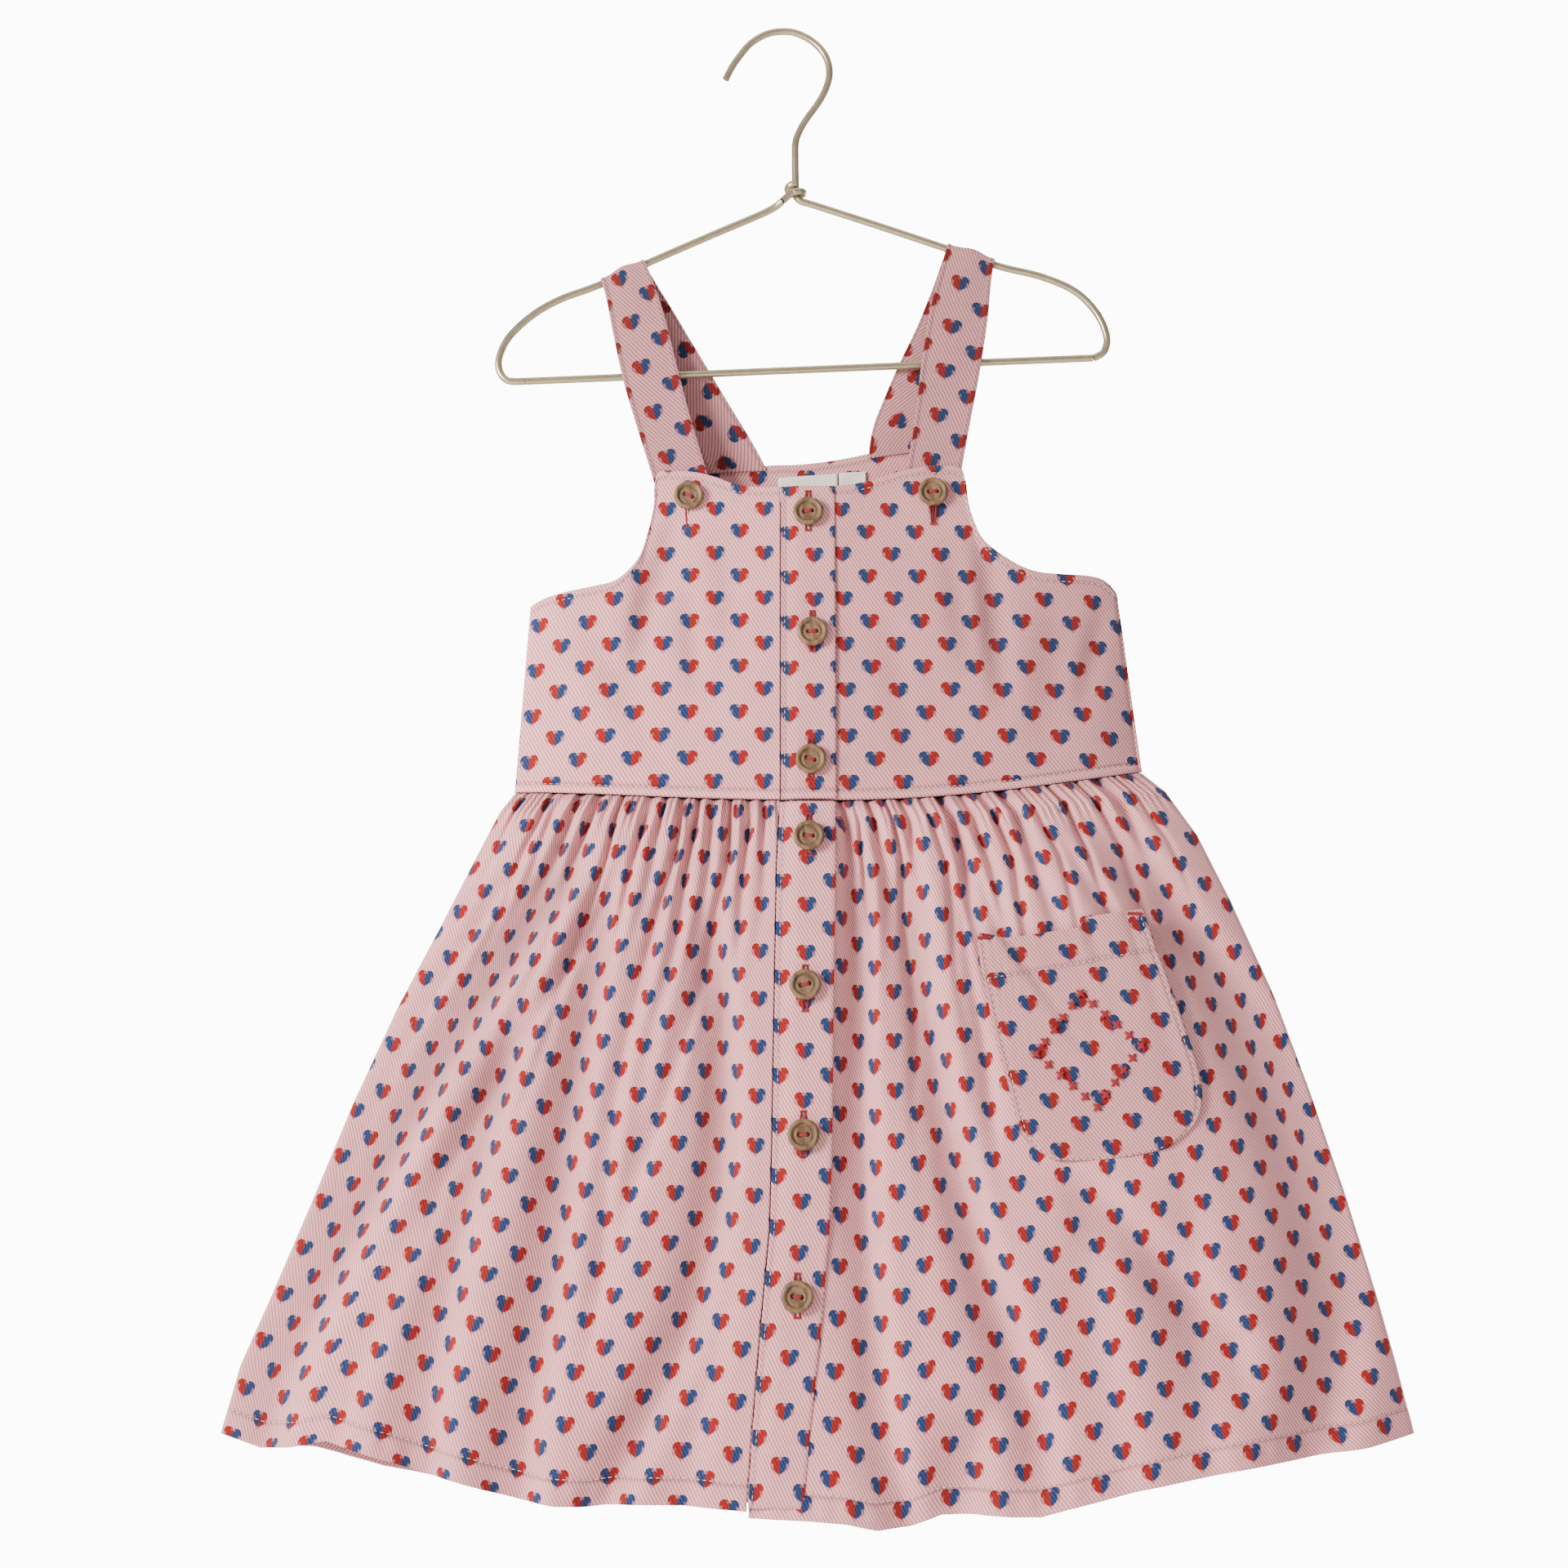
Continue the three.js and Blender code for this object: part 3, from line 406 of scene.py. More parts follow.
# Cloth pieces: a grid moved onto its surface, with its own pattern map in metres.
# A surface gives x, y, z, then how deep in a fold the place is and how near a seam, both 0 to 1;
# these two paint shade into the cloth's colour: painted shade in folds and creases, painted shade in stitched
# grooves.
# A seam of -1 is the rolled cord at the waist, which has no hearts and is painted a little lighter as a highlight.
def withPaintedShade(x, y, z, fold=0, seam=0):
    return np.stack([x, y, z, np.clip(fold + 0 * x, 0, 1), np.clip(seam + 0 * x, -1, 1)], axis=1)


def denser(share, pull):
    return share - pull * np.sin(2 * math.pi * share) / (2 * math.pi)


def clothGrid(name, columns, rows, surface, mapOf, wall, offset=-1.0, pull=(0, 0)):
    work = bmesh.new()
    bmesh.ops.create_grid(work, x_segments=columns, y_segments=rows, size=0.5)
    work.verts.ensure_lookup_table()
    a = np.array([vert.co.x + 0.5 for vert in work.verts])
    b = np.array([0.5 - vert.co.y for vert in work.verts])
    full = surface(denser(a, pull[0]), denser(b, pull[1]))
    points = full[:, :3]
    paintedShades = full[:, 3:5]
    for vert, point in zip(work.verts, points):
        vert.co = Vector(point) * metre
    order = np.lexsort((a, np.round(b * rows)))
    grid = points[order].reshape(rows + 1, columns + 1, 3)
    maps = mapOf(denser(a, pull[0]), b, points, grid)
    layer = work.loops.layers.uv.new("clothMap")
    paintedShadeLayer = work.loops.layers.uv.new("toneMap")
    for face in work.faces:
        face.smooth = True
        for loop in face.loops:
            loop[layer].uv = maps[loop.vert.index] * metre
            loop[paintedShadeLayer].uv = paintedShades[loop.vert.index]
    mesh = bpy.data.meshes.new(name)
    work.to_mesh(mesh)
    work.free()
    item = bpy.data.objects.new(name, mesh)
    bpy.context.scene.collection.objects.link(item)
    if wall:
        solid = item.modifiers.new("wall", "SOLIDIFY")
        solid.thickness = wall * metre
        solid.offset = offset
    return item


def wear(item, material, slot, *nodes):
    item.data.materials.clear()
    item.data.materials.append(material)
    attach(item, "root")
    if nodes:
        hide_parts(*nodes)
    return item


# Materials
class Signal:
    """A number in a material, so that the maths on it reads as maths."""

    def __init__(self, recipe, socket):
        self.recipe = recipe
        self.socket = socket

    def _maths(self, operation, first, second=None):
        values = {0: first} if second is None else {0: first, 1: second}
        return self.recipe.node("ShaderNodeMath", {"operation": operation}, values).number()

    def __add__(self, other):
        return self._maths("ADD", self, other)

    def __radd__(self, other):
        return self._maths("ADD", other, self)

    def __sub__(self, other):
        return self._maths("SUBTRACT", self, other)

    def __rsub__(self, other):
        return self._maths("SUBTRACT", other, self)

    def __mul__(self, other):
        return self._maths("MULTIPLY", self, other)

    def __rmul__(self, other):
        return self._maths("MULTIPLY", other, self)

    def __truediv__(self, other):
        return self._maths("DIVIDE", self, other)

    def __abs__(self):
        return self._maths("ABSOLUTE", self)

    def call(self, operation, other=None):
        return self._maths(operation, self, other)


class Made:
    """A node that has been made; its outputs are read as numbers, colours or vectors."""

    def __init__(self, recipe, node):
        self.recipe = recipe
        self.node = node

    def number(self, output=0):
        return Signal(self.recipe, self.node.outputs[output])

    def out(self, output=0):
        return self.node.outputs[output]


class Recipe:
    """One material being written."""

    def __init__(self, name):
        self.material = bpy.data.materials.new(name)
        self.material.use_nodes = True
        self.tree = self.material.node_tree
        self.tree.nodes.clear()

    def node(self, kind, settings=None, inputs=None):
        made = self.tree.nodes.new(kind)
        for key, value in (settings or {}).items():
            if key == "stops":
                ramp = made.color_ramp
                while len(ramp.elements) < len(value):
                    ramp.elements.new(0.5)
                for element, (place, colour) in zip(ramp.elements, value):
                    element.position = place
                    element.color = (*colour, 1)
            else:
                setattr(made, key, value)
        for key, value in (inputs or {}).items():
            self.feed(made.inputs[key], value)
        return Made(self, made)

    def feed(self, socket, value):
        if isinstance(value, Signal):
            self.tree.links.new(value.socket, socket)
        elif isinstance(value, bpy.types.NodeSocket):
            self.tree.links.new(value, socket)
        elif isinstance(value, tuple) and len(value) == 3 and len(socket.default_value) == 4:
            socket.default_value = (*value, 1)
        else:
            socket.default_value = value

    def mix(self, mask, first, second):
        made = self.tree.nodes.new("ShaderNodeMix")
        made.data_type = "RGBA"
        self.feed(made.inputs[0], mask)
        self.feed(made.inputs[6], first)
        self.feed(made.inputs[7], second)
        return made.outputs[2]

    def objectPlace(self):
        return self.node("ShaderNodeTexCoord").out("Object")

    def finish(self, **inputs):
        shader = self.node("ShaderNodeBsdfPrincipled", {}, inputs)
        output = self.node("ShaderNodeOutputMaterial")
        self.tree.links.new(shader.out(), output.node.inputs["Surface"])
        return self.material


printCloth = {
    "repeatAcross": 0.0246,
    "repeatDown": 0.0235,
    "heartWide": 0.00412,
    "heartTall": 0.00372,
    "heartLift": 0.00045,
    "twillPitch": 0.00155,
    "twillAngle": 58,
    "foldShade": 0.43,
    "seamShade": 0.34,
    # painted highlight: the waist cord is painted this much lighter
    "cordHighlight": 0.1,
    "paleLine": (0.830, 0.430, 0.424),
    "pinkLine": (0.430, 0.118, 0.132),
    "redDark": (0.165, 0.0015, 0.001),
    "redPale": (0.290, 0.006, 0.004),
    "blueDark": (0.004, 0.010, 0.048),
    "bluePale": (0.014, 0.042, 0.132),
}


def heartMask(recipe, x, y):
    # 1 inside a heart drawn about the origin, point down
    across = abs(x) / printCloth["heartWide"]
    up = y / printCloth["heartTall"]
    square = across * across
    ring = square + up * up - 1
    shape = ring * ring * ring - square * up * up * up
    return recipe.node("ShaderNodeMapRange", {"interpolation_type": "SMOOTHSTEP"}, {
        "Value": shape, "From Min": 0.10, "From Max": -0.10, "To Min": 0.0, "To Max": 1.0,
    }).number()


def makePrintCloth(name, shift=(0, 0), paintedLightLevel=1.0):
    # diagonal twill with two-tone hearts; shift moves the repeat, in metres; the last argument is painted light, a
    # lighter or darker copy of the same cloth for each piece
    look = printCloth
    recipe = Recipe(name)
    place = recipe.node("ShaderNodeUVMap", {"uv_map": "clothMap"}).out()
    parts = recipe.node("ShaderNodeSeparateXYZ", {}, {0: place})
    u = parts.number(0)
    v = parts.number(1)
    angle = math.radians(look["twillAngle"])
    phase = (u * math.sin(angle) + v * math.cos(angle)) / look["twillPitch"]
    line = (phase * (2 * math.pi)).call("SINE") * 0.5 + 0.5
    grain = recipe.node("ShaderNodeTexNoise", {}, {"Vector": place, "Scale": 2600.0, "Detail": 2.0})
    cloud = recipe.node("ShaderNodeTexNoise", {}, {"Vector": place, "Scale": 38.0, "Detail": 3.0})
    lineMix = (line * 0.86 + grain.number() * 0.28 - 0.06).call("MINIMUM", 1.0).call("MAXIMUM", 0.0)
    ground = recipe.mix(lineMix, look["pinkLine"], look["paleLine"])
    red = recipe.mix(lineMix, look["redDark"], look["redPale"])
    blue = recipe.mix(lineMix, look["blueDark"], look["bluePale"])
    # painted shade: the second map darkens the colour in folds, creases, under edges and stitched grooves
    paintedShades = recipe.node("ShaderNodeUVMap", {"uv_map": "toneMap"}).out()
    paintedShade = recipe.node("ShaderNodeSeparateXYZ", {}, {0: paintedShades})
    seam = paintedShade.number(1).call("MAXIMUM", 0.0)
    cord = (paintedShade.number(1) * -1).call("MAXIMUM", 0.0)
    colour = ground
    for half in (0.0, 0.5):
        across = (u - shift[0]) / look["repeatAcross"] + half
        down = (v - shift[1]) / look["repeatDown"] + half
        x = (across - across.call("ROUND")) * look["repeatAcross"]
        y = (down - down.call("ROUND")) * look["repeatDown"] + look["heartLift"]
        mask = heartMask(recipe, x, y) * (1 - cord)
        rightSide = x.call("GREATER_THAN", 0.0)
        first, second = (red, blue) if half == 0.0 else (blue, red)
        colour = recipe.mix(mask, colour, recipe.mix(rightSide, first, second))
    # random mottling of the cloth, times painted light for the piece, times a painted highlight on the waist cord
    mottleAndPaintedLight = (cloud.number() * 0.22 + 0.90) * paintedLightLevel * (1 + cord * look["cordHighlight"])
    # mottled colour and painted light per piece, times painted shade in folds and painted shade in stitched grooves
    shade = mottleAndPaintedLight * (1 - paintedShade.number(0) * look["foldShade"]) * (1 - seam * look["seamShade"])
    colour = recipe.node("ShaderNodeVectorMath", {"operation": "SCALE"}, {0: colour, "Scale": shade}).out()
    bump = recipe.node("ShaderNodeBump", {}, {
        "Height": line * 0.7 + grain.number() * 0.5, "Strength": 0.5, "Distance": 0.00022,
    })
    return recipe.finish(**{
        "Base Color": colour, "Roughness": 0.86, "Normal": bump.out(),
        "Sheen Weight": 0.12, "Sheen Roughness": 0.5, "Specular IOR Level": 0.25,
    })


def makeThread(name, pale, dark):
    recipe = Recipe(name)
    place = recipe.objectPlace()
    ply = recipe.node("ShaderNodeTexNoise", {}, {"Vector": place, "Scale": 1500.0, "Detail": 2.0})
    colour = recipe.mix(ply.number(), dark, pale)
    bump = recipe.node("ShaderNodeBump", {}, {"Height": ply.number(), "Strength": 0.6, "Distance": 0.0002})
    return recipe.finish(**{"Base Color": colour, "Roughness": 0.7, "Normal": bump.out()})


def makeWood(name):
    recipe = Recipe(name)
    place = recipe.objectPlace()
    slow = recipe.node("ShaderNodeMapping", {}, {"Vector": place, "Scale": (1.0, 1.0, 0.35)}).out()
    rings = recipe.node("ShaderNodeTexWave", {"bands_direction": "DIAGONAL"}, {
        "Vector": slow, "Scale": 95.0, "Distortion": 7.0, "Detail": 3.0, "Detail Scale": 1.6,
    })
    fleck = recipe.node("ShaderNodeTexNoise", {}, {"Vector": place, "Scale": 900.0, "Detail": 4.0})
    cloud = recipe.node("ShaderNodeTexNoise", {}, {"Vector": place, "Scale": 120.0, "Detail": 3.0})
    grain = (rings.number(1) * 0.22 + fleck.number() * 0.45 + cloud.number() * 0.5).call("MINIMUM", 1.0)
    colour = recipe.node("ShaderNodeValToRGB", {"stops": [
        (0.25, (0.045, 0.018, 0.006)), (0.55, (0.110, 0.056, 0.021)), (0.85, (0.205, 0.116, 0.050)),
    ]}, {0: grain}).out()
    bump = recipe.node("ShaderNodeBump", {}, {"Height": grain, "Strength": 0.35, "Distance": 0.0003})
    return recipe.finish(**{
        "Base Color": colour, "Roughness": fleck.number() * 0.2 + 0.42, "Normal": bump.out(),
    })


def makeWire(name):
    recipe = Recipe(name)
    place = recipe.objectPlace()
    haze = recipe.node("ShaderNodeTexNoise", {}, {"Vector": place, "Scale": 260.0, "Detail": 4.0})
    scratch = recipe.node("ShaderNodeTexNoise", {}, {"Vector": place, "Scale": 1800.0, "Detail": 3.0})
    colour = recipe.mix(haze.number(), (0.330, 0.260, 0.150), (0.450, 0.365, 0.230))
    bump = recipe.node("ShaderNodeBump", {}, {"Height": scratch.number(), "Strength": 0.2, "Distance": 0.0001})
    return recipe.finish(**{
        "Base Color": colour, "Metallic": 0.8, "Roughness": haze.number() * 0.16 + 0.24,
        "Normal": bump.out(),
    })


def makeLabel(name):
    recipe = Recipe(name)
    place = recipe.objectPlace()
    weave = recipe.node("ShaderNodeTexNoise", {}, {"Vector": place, "Scale": 1400.0, "Detail": 2.0})
    colour = recipe.mix(weave.number(), (0.640, 0.590, 0.470), (0.830, 0.790, 0.680))
    bump = recipe.node("ShaderNodeBump", {}, {"Height": weave.number(), "Strength": 0.4, "Distance": 0.0002})
    return recipe.finish(**{"Base Color": colour, "Roughness": 0.75, "Normal": bump.out()})


def makeFloor(name):
    recipe = Recipe(name)
    return recipe.finish(**{
        "Base Color": (0.93, 0.93, 0.93), "Roughness": 0.9,
        "Emission Color": (1.0, 1.0, 1.0), "Emission Strength": studio["floorGlow"],
    })


# painted shadow: a dark sliver laid in each buttonhole stands for the shade inside the cut
def makeSlitShadow(name):
    recipe = Recipe(name)
    place = recipe.objectPlace()
    grit = recipe.node("ShaderNodeTexNoise", {}, {"Vector": place, "Scale": 1500.0})
    colour = recipe.mix(grit.number(), (0.030, 0.012, 0.010), (0.070, 0.025, 0.020))
    return recipe.finish(**{"Base Color": colour, "Roughness": 0.9})


# Each piece gets its own copy of the one printed cloth; the last number is painted light: darker for the straps, the
# right bodice and the pocket, lighter for the left bodice.
clothBodiceLeft = makePrintCloth("clothBodiceLeft", (-0.0090, -0.2943), 1.02)
clothBodiceRight = makePrintCloth("clothBodiceRight", (0.0545, -0.2947), 0.82)
clothBandBodice = makePrintCloth("clothBandBodice", (0.0160, -0.2957), 0.9)
clothBack = makePrintCloth("clothBack", (0, 0), 0.9)
clothSkirtLeft = makePrintCloth("clothSkirtLeft", (-0.0081, -0.0299), 0.93)
clothSkirtRight = makePrintCloth("clothSkirtRight")
clothBandSkirt = makePrintCloth("clothBandSkirt", (0.0140, -0.4506), 0.94)
clothPocket = makePrintCloth("clothPocket", (0, 0), 0.83)
clothStrapLeft = makePrintCloth("clothStrapLeft", (0.0101, 0.0175), 0.625)
clothStrapRight = makePrintCloth("clothStrapRight", (0.0112, 0.0061), 0.605)
palePinkThread = makeThread("palePinkThread", (0.860, 0.700, 0.665), (0.660, 0.440, 0.420))
redThread = makeThread("redThread", (0.330, 0.006, 0.010), (0.130, 0.003, 0.006))
buttonWood = makeWood("buttonWood")
hangerWire = makeWire("hangerWire")
labelTape = makeLabel("labelTape")
slitShadow = makeSlitShadow("slitShadow")
print("materials made")


# Floor and sky
def addStudio():
    work = bmesh.new()
    bmesh.ops.create_grid(
        work, x_segments=2, y_segments=2, size=studio["floorSide"] / 2,
        matrix=Matrix.Translation((0, 0, studio["floorHeight"])),
    )
    mesh = bpy.data.meshes.new("studioFloor")
    work.to_mesh(mesh)
    work.free()
    item = bpy.data.objects.new("studioFloor", mesh)
    bpy.context.scene.collection.objects.link(item)
    mesh.materials.append(makeFloor("studioWhite"))
    # the sky is seen white but lights the dress softly
    world = bpy.data.worlds.new("studioWorld")
    world.use_nodes = True
    tree = world.node_tree
    sky = tree.nodes["Background"]
    seen = tree.nodes.new("ShaderNodeMapRange")
    seen.inputs["To Min"].default_value = studio["skyLight"]
    seen.inputs["To Max"].default_value = studio["skySeen"]
    sky.inputs[0].default_value = (1, 1, 1, 1)
    tree.links.new(tree.nodes.new("ShaderNodeLightPath").outputs["Is Camera Ray"], seen.inputs["Value"])
    tree.links.new(seen.outputs[0], sky.inputs[1])
    bpy.context.scene.world = world


addStudio()
addLight("backLight", (1.1, 1.35, 0.1), (0, 0, -0.45), (1.0, 1.0), studio["backPower"])


# Bodice
def bodiceSurface(lines, side, flip=False, under=False):
    def surface(a, b):
        top = smoothRows(lines, 1 - a if flip else a)
        footZ = waistZ(top[:, 2]) + 0.1
        x = top[:, 0] + (top[:, 2] - top[:, 0]) * b
        z = top[:, 1] + (footZ - top[:, 1]) * b
        run = top[:, 1] - footZ
        above = (1 - b) * run
        below = b * run
        ridge = np.clip(1 - ((above - bodice["ridgeHeight"] / 2) / (bodice["ridgeHeight"] / 2)) ** 2, 0, 1)
        out = bodice["ridgeOut"] * np.sqrt(ridge)
        foot = np.exp(-((above - 4.9) / 0.9) ** 2)
        head = np.exp(-((below - bodice["topStitch"]) / 0.8) ** 2)
        out = out - 0.6 * foot + 0.35 * np.exp(-((below - 2.2) / 2.2) ** 2) - 0.4 * head
        calm = ease(above / 14) * ease(below / 10)
        centre = ease((np.abs(x - 13) - 14) / 12)
        crease = creaseDepth(bodice["creases"], x, z) * calm * (centre if side < 0 else 1)
        swell = softNoise(x / 26, z / 34, 3 + side) * calm
        out = out - 1.7 * crease + 0.8 * swell
        y = bodiceY(side, x, z)
        room = np.maximum(np.abs(y) - bodice["side"] - bodice["cloth"], 0)
        out = np.where(out < 0, np.maximum(out, -0.6 * room), out)
        if under:
            out = out - 1.5 * ease((10 - x) / 8)
        cord = ease((4.3 - above) / 0.7)
        # painted shade in the creases and in the stitched grooves; the waist cord is marked with -1
        return withPaintedShade(x, y + side * out, z, crease / 2.4, np.maximum(head, foot) * (1 - cord) - cord)
    return surface


def bodiceMap(a, b, points, grid):
    x, z = points[:, 0], points[:, 2]
    lean = np.where(x > 25, np.clip(0.028 + 0.0006 * (x - 41), 0.01, 0.09), -np.clip((-40 - x) * 0.0009, 0, 0.05))
    return np.stack([x - lean * (-285 - z), z], axis=1)


def bodiceMapBack(a, b, points, grid):
    return np.stack([-points[:, 0], points[:, 2]], axis=1)


bodiceFaces = {
    "left": bodiceSurface(bodice["leftLines"], -1),
    "right": bodiceSurface(bodice["rightLines"], -1, False, True),
    "back": bodiceSurface(bodice["backLines"], 1, True),
}
bodiceLeft = clothGrid("bodiceLeft", 110, 110, bodiceFaces["left"], bodiceMap, 0.9, -1, (0.3, 0.6))
wear(bodiceLeft, clothBodiceLeft, "print_cloth", "bodice_front_left")
bodiceRight = clothGrid("bodiceRight", 150, 110, bodiceFaces["right"], bodiceMap, 0.9, -1, (0.3, 0.6))
wear(bodiceRight, clothBodiceRight, "print_cloth", "bodice_front_right")
bodiceBack = clothGrid("bodiceBack", 200, 110, bodiceFaces["back"], bodiceMapBack, 0.9, -1, (0.2, 0.6))
wear(bodiceBack, clothBack, "print_cloth", "bodice_back")
print("bodice made")


# Skirt
def bandS(v):
    return skirtS(lookUp(band["sections"], v, 1), v)


def skirtPoint(side, hem, s, v):
    x = skirtX(s, v)
    z = skirtZ(hem, s, v)
    y = skirtY(side, s, v)
    up = z - lookUp(hem, s, 1)
    away = 1 - np.abs(s) ** 8
    seam = np.exp(-((up - skirt["hemStitch"]) / 0.9) ** 2)
    out = 0.6 * ease((skirt["hemStitch"] + 0.5 - up) / 1.5) - 0.7 * seam
    out = out + 0.28 * np.sin(s * 118 + 3 * np.sin(s * 17)) * np.exp(-((up - 6) / 4.5) ** 2)
    out = out + 0.9 * softNoise(s * 8, v * 4.2, 5 + side) * ease(v / 0.25) * away
    out = out + 0.8 * np.sin(s * 270 + 2 * np.sin(s * 41)) * np.exp(-((v - 0.02) / 0.03) ** 2)
    room = np.maximum(np.abs(y) - bodice["side"] - bodice["cloth"], 0)
    out = np.where(out < 0, np.maximum(out, -0.6 * room), out)
    # painted shade: darker in the folds' troughs, less so near the gathered top, with a painted shadow just under
    # the waist ridge; seam paints shade into the hem stitch groove
    whole = lookUp(skirt["sections"], v, 3 if side < 0 else 4)
    fold = np.tanh(inwardFolds(side, s, v) / (0.62 * whole)) ** 2 * (1 - 0.5 * np.exp(-(v / 0.13) ** 2))
    fold = np.maximum(fold, 0.7 * np.exp(-(v / 0.012) ** 2))
    return x, y + side * out, z, fold, seam


def skirtPlace(panel, a, b):
    v = denser(b, 0.6)
    share = 1 - a if panel["flip"] else a
    low, high = panel["range"](v)
    return low + (high - low) * share, v


def skirtSurface(panel):
    def surface(a, b):
        s, v = skirtPlace(panel, a, b)
        x, y, z, fold, seam = skirtPoint(panel["side"], panel["hem"], s, v)
        if panel["under"]:
            y = y + 1.5 * ease((9 - (s - bandS(v)) * 200) / 7)
        return withPaintedShade(x, y, z, fold, seam)
    return surface


def skirtMap(panel):
    """The flat cloth's width is spread along each row, and what the row can't hold goes into its troughs."""
    def mapOf(a, b, points, grid):
        rows, columns = grid.shape[:2]
        steps = np.linalg.norm(np.diff(grid, axis=1), axis=2)
        a0, b0 = np.meshgrid(np.linspace(0, 1, columns), np.linspace(0, 1, rows))
        s, v = skirtPlace(panel, a0, b0)
        room = lookUp(skirt["sections"], v, 3 if panel["side"] < 0 else 4)
        trough = np.tanh(inwardFolds(panel["side"], s, v, True, 0.42) / room) ** 2
        trough = (trough[:, 1:] + trough[:, :-1]) / 2 + 0.03
        width = panel["width"] * (0.84 + 0.16 * ease(v[:, :1] / 0.6))
        spare = width - steps.sum(axis=1, keepdims=True)
        extra = steps * trough / (steps * trough).sum(axis=1, keepdims=True)
        near = np.exp(-((v[:, :1] - v[:, :1].T) / 0.14) ** 2)
        extra = near @ extra / near.sum(axis=1, keepdims=True)
        plain = steps / steps.sum(axis=1, keepdims=True)
        run = steps + spare * np.where(spare > 0, extra, plain)
        along = np.concatenate([np.zeros((rows, 1)), np.cumsum(run, axis=1)], axis=1)
        along = along - (along[:, -1:] if panel["start"] < 0 else 0)
        i = np.round(a * (columns - 1)).astype(int)
        j = np.round(b * (rows - 1)).astype(int)
        return np.stack([along[j, i], -v[j, i] * skirt["length"]], axis=1)
    return mapOf


skirtPanels = {
    # side, hem, share of the circuit, flat width, where its pattern starts
    "left": {
        "side": -1, "hem": skirt["hemLeft"], "range": lambda v: (-1 + 0 * v, bandS(v)),
        "width": 285, "start": -285, "flip": False, "under": False,
    },
    "right": {
        "side": -1, "hem": skirt["hemRight"], "range": lambda v: (bandS(v) + 0.003, 1 + 0 * v),
        "width": 338, "start": 0, "flip": False, "under": True,
    },
    "back": {
        "side": 1, "hem": skirt["hemBack"], "range": lambda v: (-1 + 0 * v, 1 + 0 * v),
        "width": 600, "start": 0, "flip": True, "under": False,
    },
}
skirtFaces = {name: skirtSurface(panel) for name, panel in skirtPanels.items()}
skirtLeft = clothGrid("skirtLeft", 270, 170, skirtFaces["left"], skirtMap(skirtPanels["left"]), 0.7)
wear(skirtLeft, clothSkirtLeft, "print_cloth", "skirt_front_left")
skirtRight = clothGrid("skirtRight", 280, 170, skirtFaces["right"], skirtMap(skirtPanels["right"]), 0.7)
wear(skirtRight, clothSkirtRight, "print_cloth", "skirt_front_right")
skirtBack = clothGrid("skirtBack", 380, 120, skirtFaces["back"], skirtMap(skirtPanels["back"]), 0.7)
wear(skirtBack, clothBack, "print_cloth", "skirt_back")
print("skirt made")


# Button band down the front
def bandBodiceSurface(a, b):
    x = band["left"] - 1 + (band["foldX"] - band["left"] + 1) * a
    foot = bodice["waistZ"] + 0.2
    z = -258.5 + (foot + 258.5) * b
    above = z - foot
    ridge = np.clip(1 - ((above - bodice["ridgeHeight"] / 2) / (bodice["ridgeHeight"] / 2)) ** 2, 0, 1)
    out = 0.1 + 1.45 * ease(x / 9) + bodice["ridgeOut"] * np.sqrt(ridge)
    out = out - 0.45 * np.exp(-((above - 4.6) / 0.8) ** 2)
    out = out - 0.3 * np.exp(-((x - 1.6) / 0.8) ** 2) - 0.5 * np.exp(-((x - 27) / 1.1) ** 2)
    out = out + 0.18 * softNoise(x / 14, z / 20, 9)
    # painted shade along the stitched grooves
    seam = np.maximum(np.exp(-((x - 1.6) / 0.7) ** 2), np.exp(-((above - 4.9) / 0.9) ** 2))
    cord = ease((4.3 - above) / 0.7)
    return withPaintedShade(x, bodiceY(-1, x, z) - out, z, 0, seam * (1 - cord) - cord)


def bandSkirtRange(v):
    return lookUp(band["sections"], v, 1) + 0.5, lookUp(band["sections"], v, 2)


def bandSkirtSurface(a, b):
    v = 0.002 + 0.991 * b
    left, right = bandSkirtRange(v)
    x = left + (right - left) * a
    s = np.minimum(skirtS((left + right) / 2, v), -0.02)
    z = skirtZ(skirt["hemLeft"], s, v)
    out = 1.65 - 0.3 * np.exp(-((a - 0.07) / 0.03) ** 2) - 0.5 * np.exp(-((a - 1) / 0.035) ** 2)
    out = out + 0.3 * softNoise(x / 16, z / 24, 4) * ease(v / 0.06)
    joined = skirtPoint(-1, skirt["hemLeft"], bandS(v) - 0.001, v)[1]
    merge = ease(a / 0.4)
    y = joined * (1 - merge) + (frontOf(x, z, 5) - out) * merge
    # painted shade along the stitch line
    return withPaintedShade(x, y, z, 0, np.exp(-((a - 0.07) / 0.025) ** 2))


def plainMap(a, b, points, grid):
    return np.stack([points[:, 0], points[:, 2]], axis=1)


def bandSkirtMap(a, b, points, grid):
    v = 0.002 + 0.991 * b
    left, right = bandSkirtRange(v)
    return np.stack([left * 0 - 1.0 + 29 * a, points[:, 2]], axis=1)


bandBodice = clothGrid("bandBodice", 30, 120, bandBodiceSurface, plainMap, 1.0, -1, (0.5, 0.5))
wear(bandBodice, clothBandBodice, "print_cloth", "placket_bodice")
bandSkirt = clothGrid("bandSkirt", 30, 170, bandSkirtSurface, bandSkirtMap, 1.0, -1, (0.5, 0))
wear(bandSkirt, clothBandSkirt, "print_cloth", "placket_skirt")
print("button bands made")


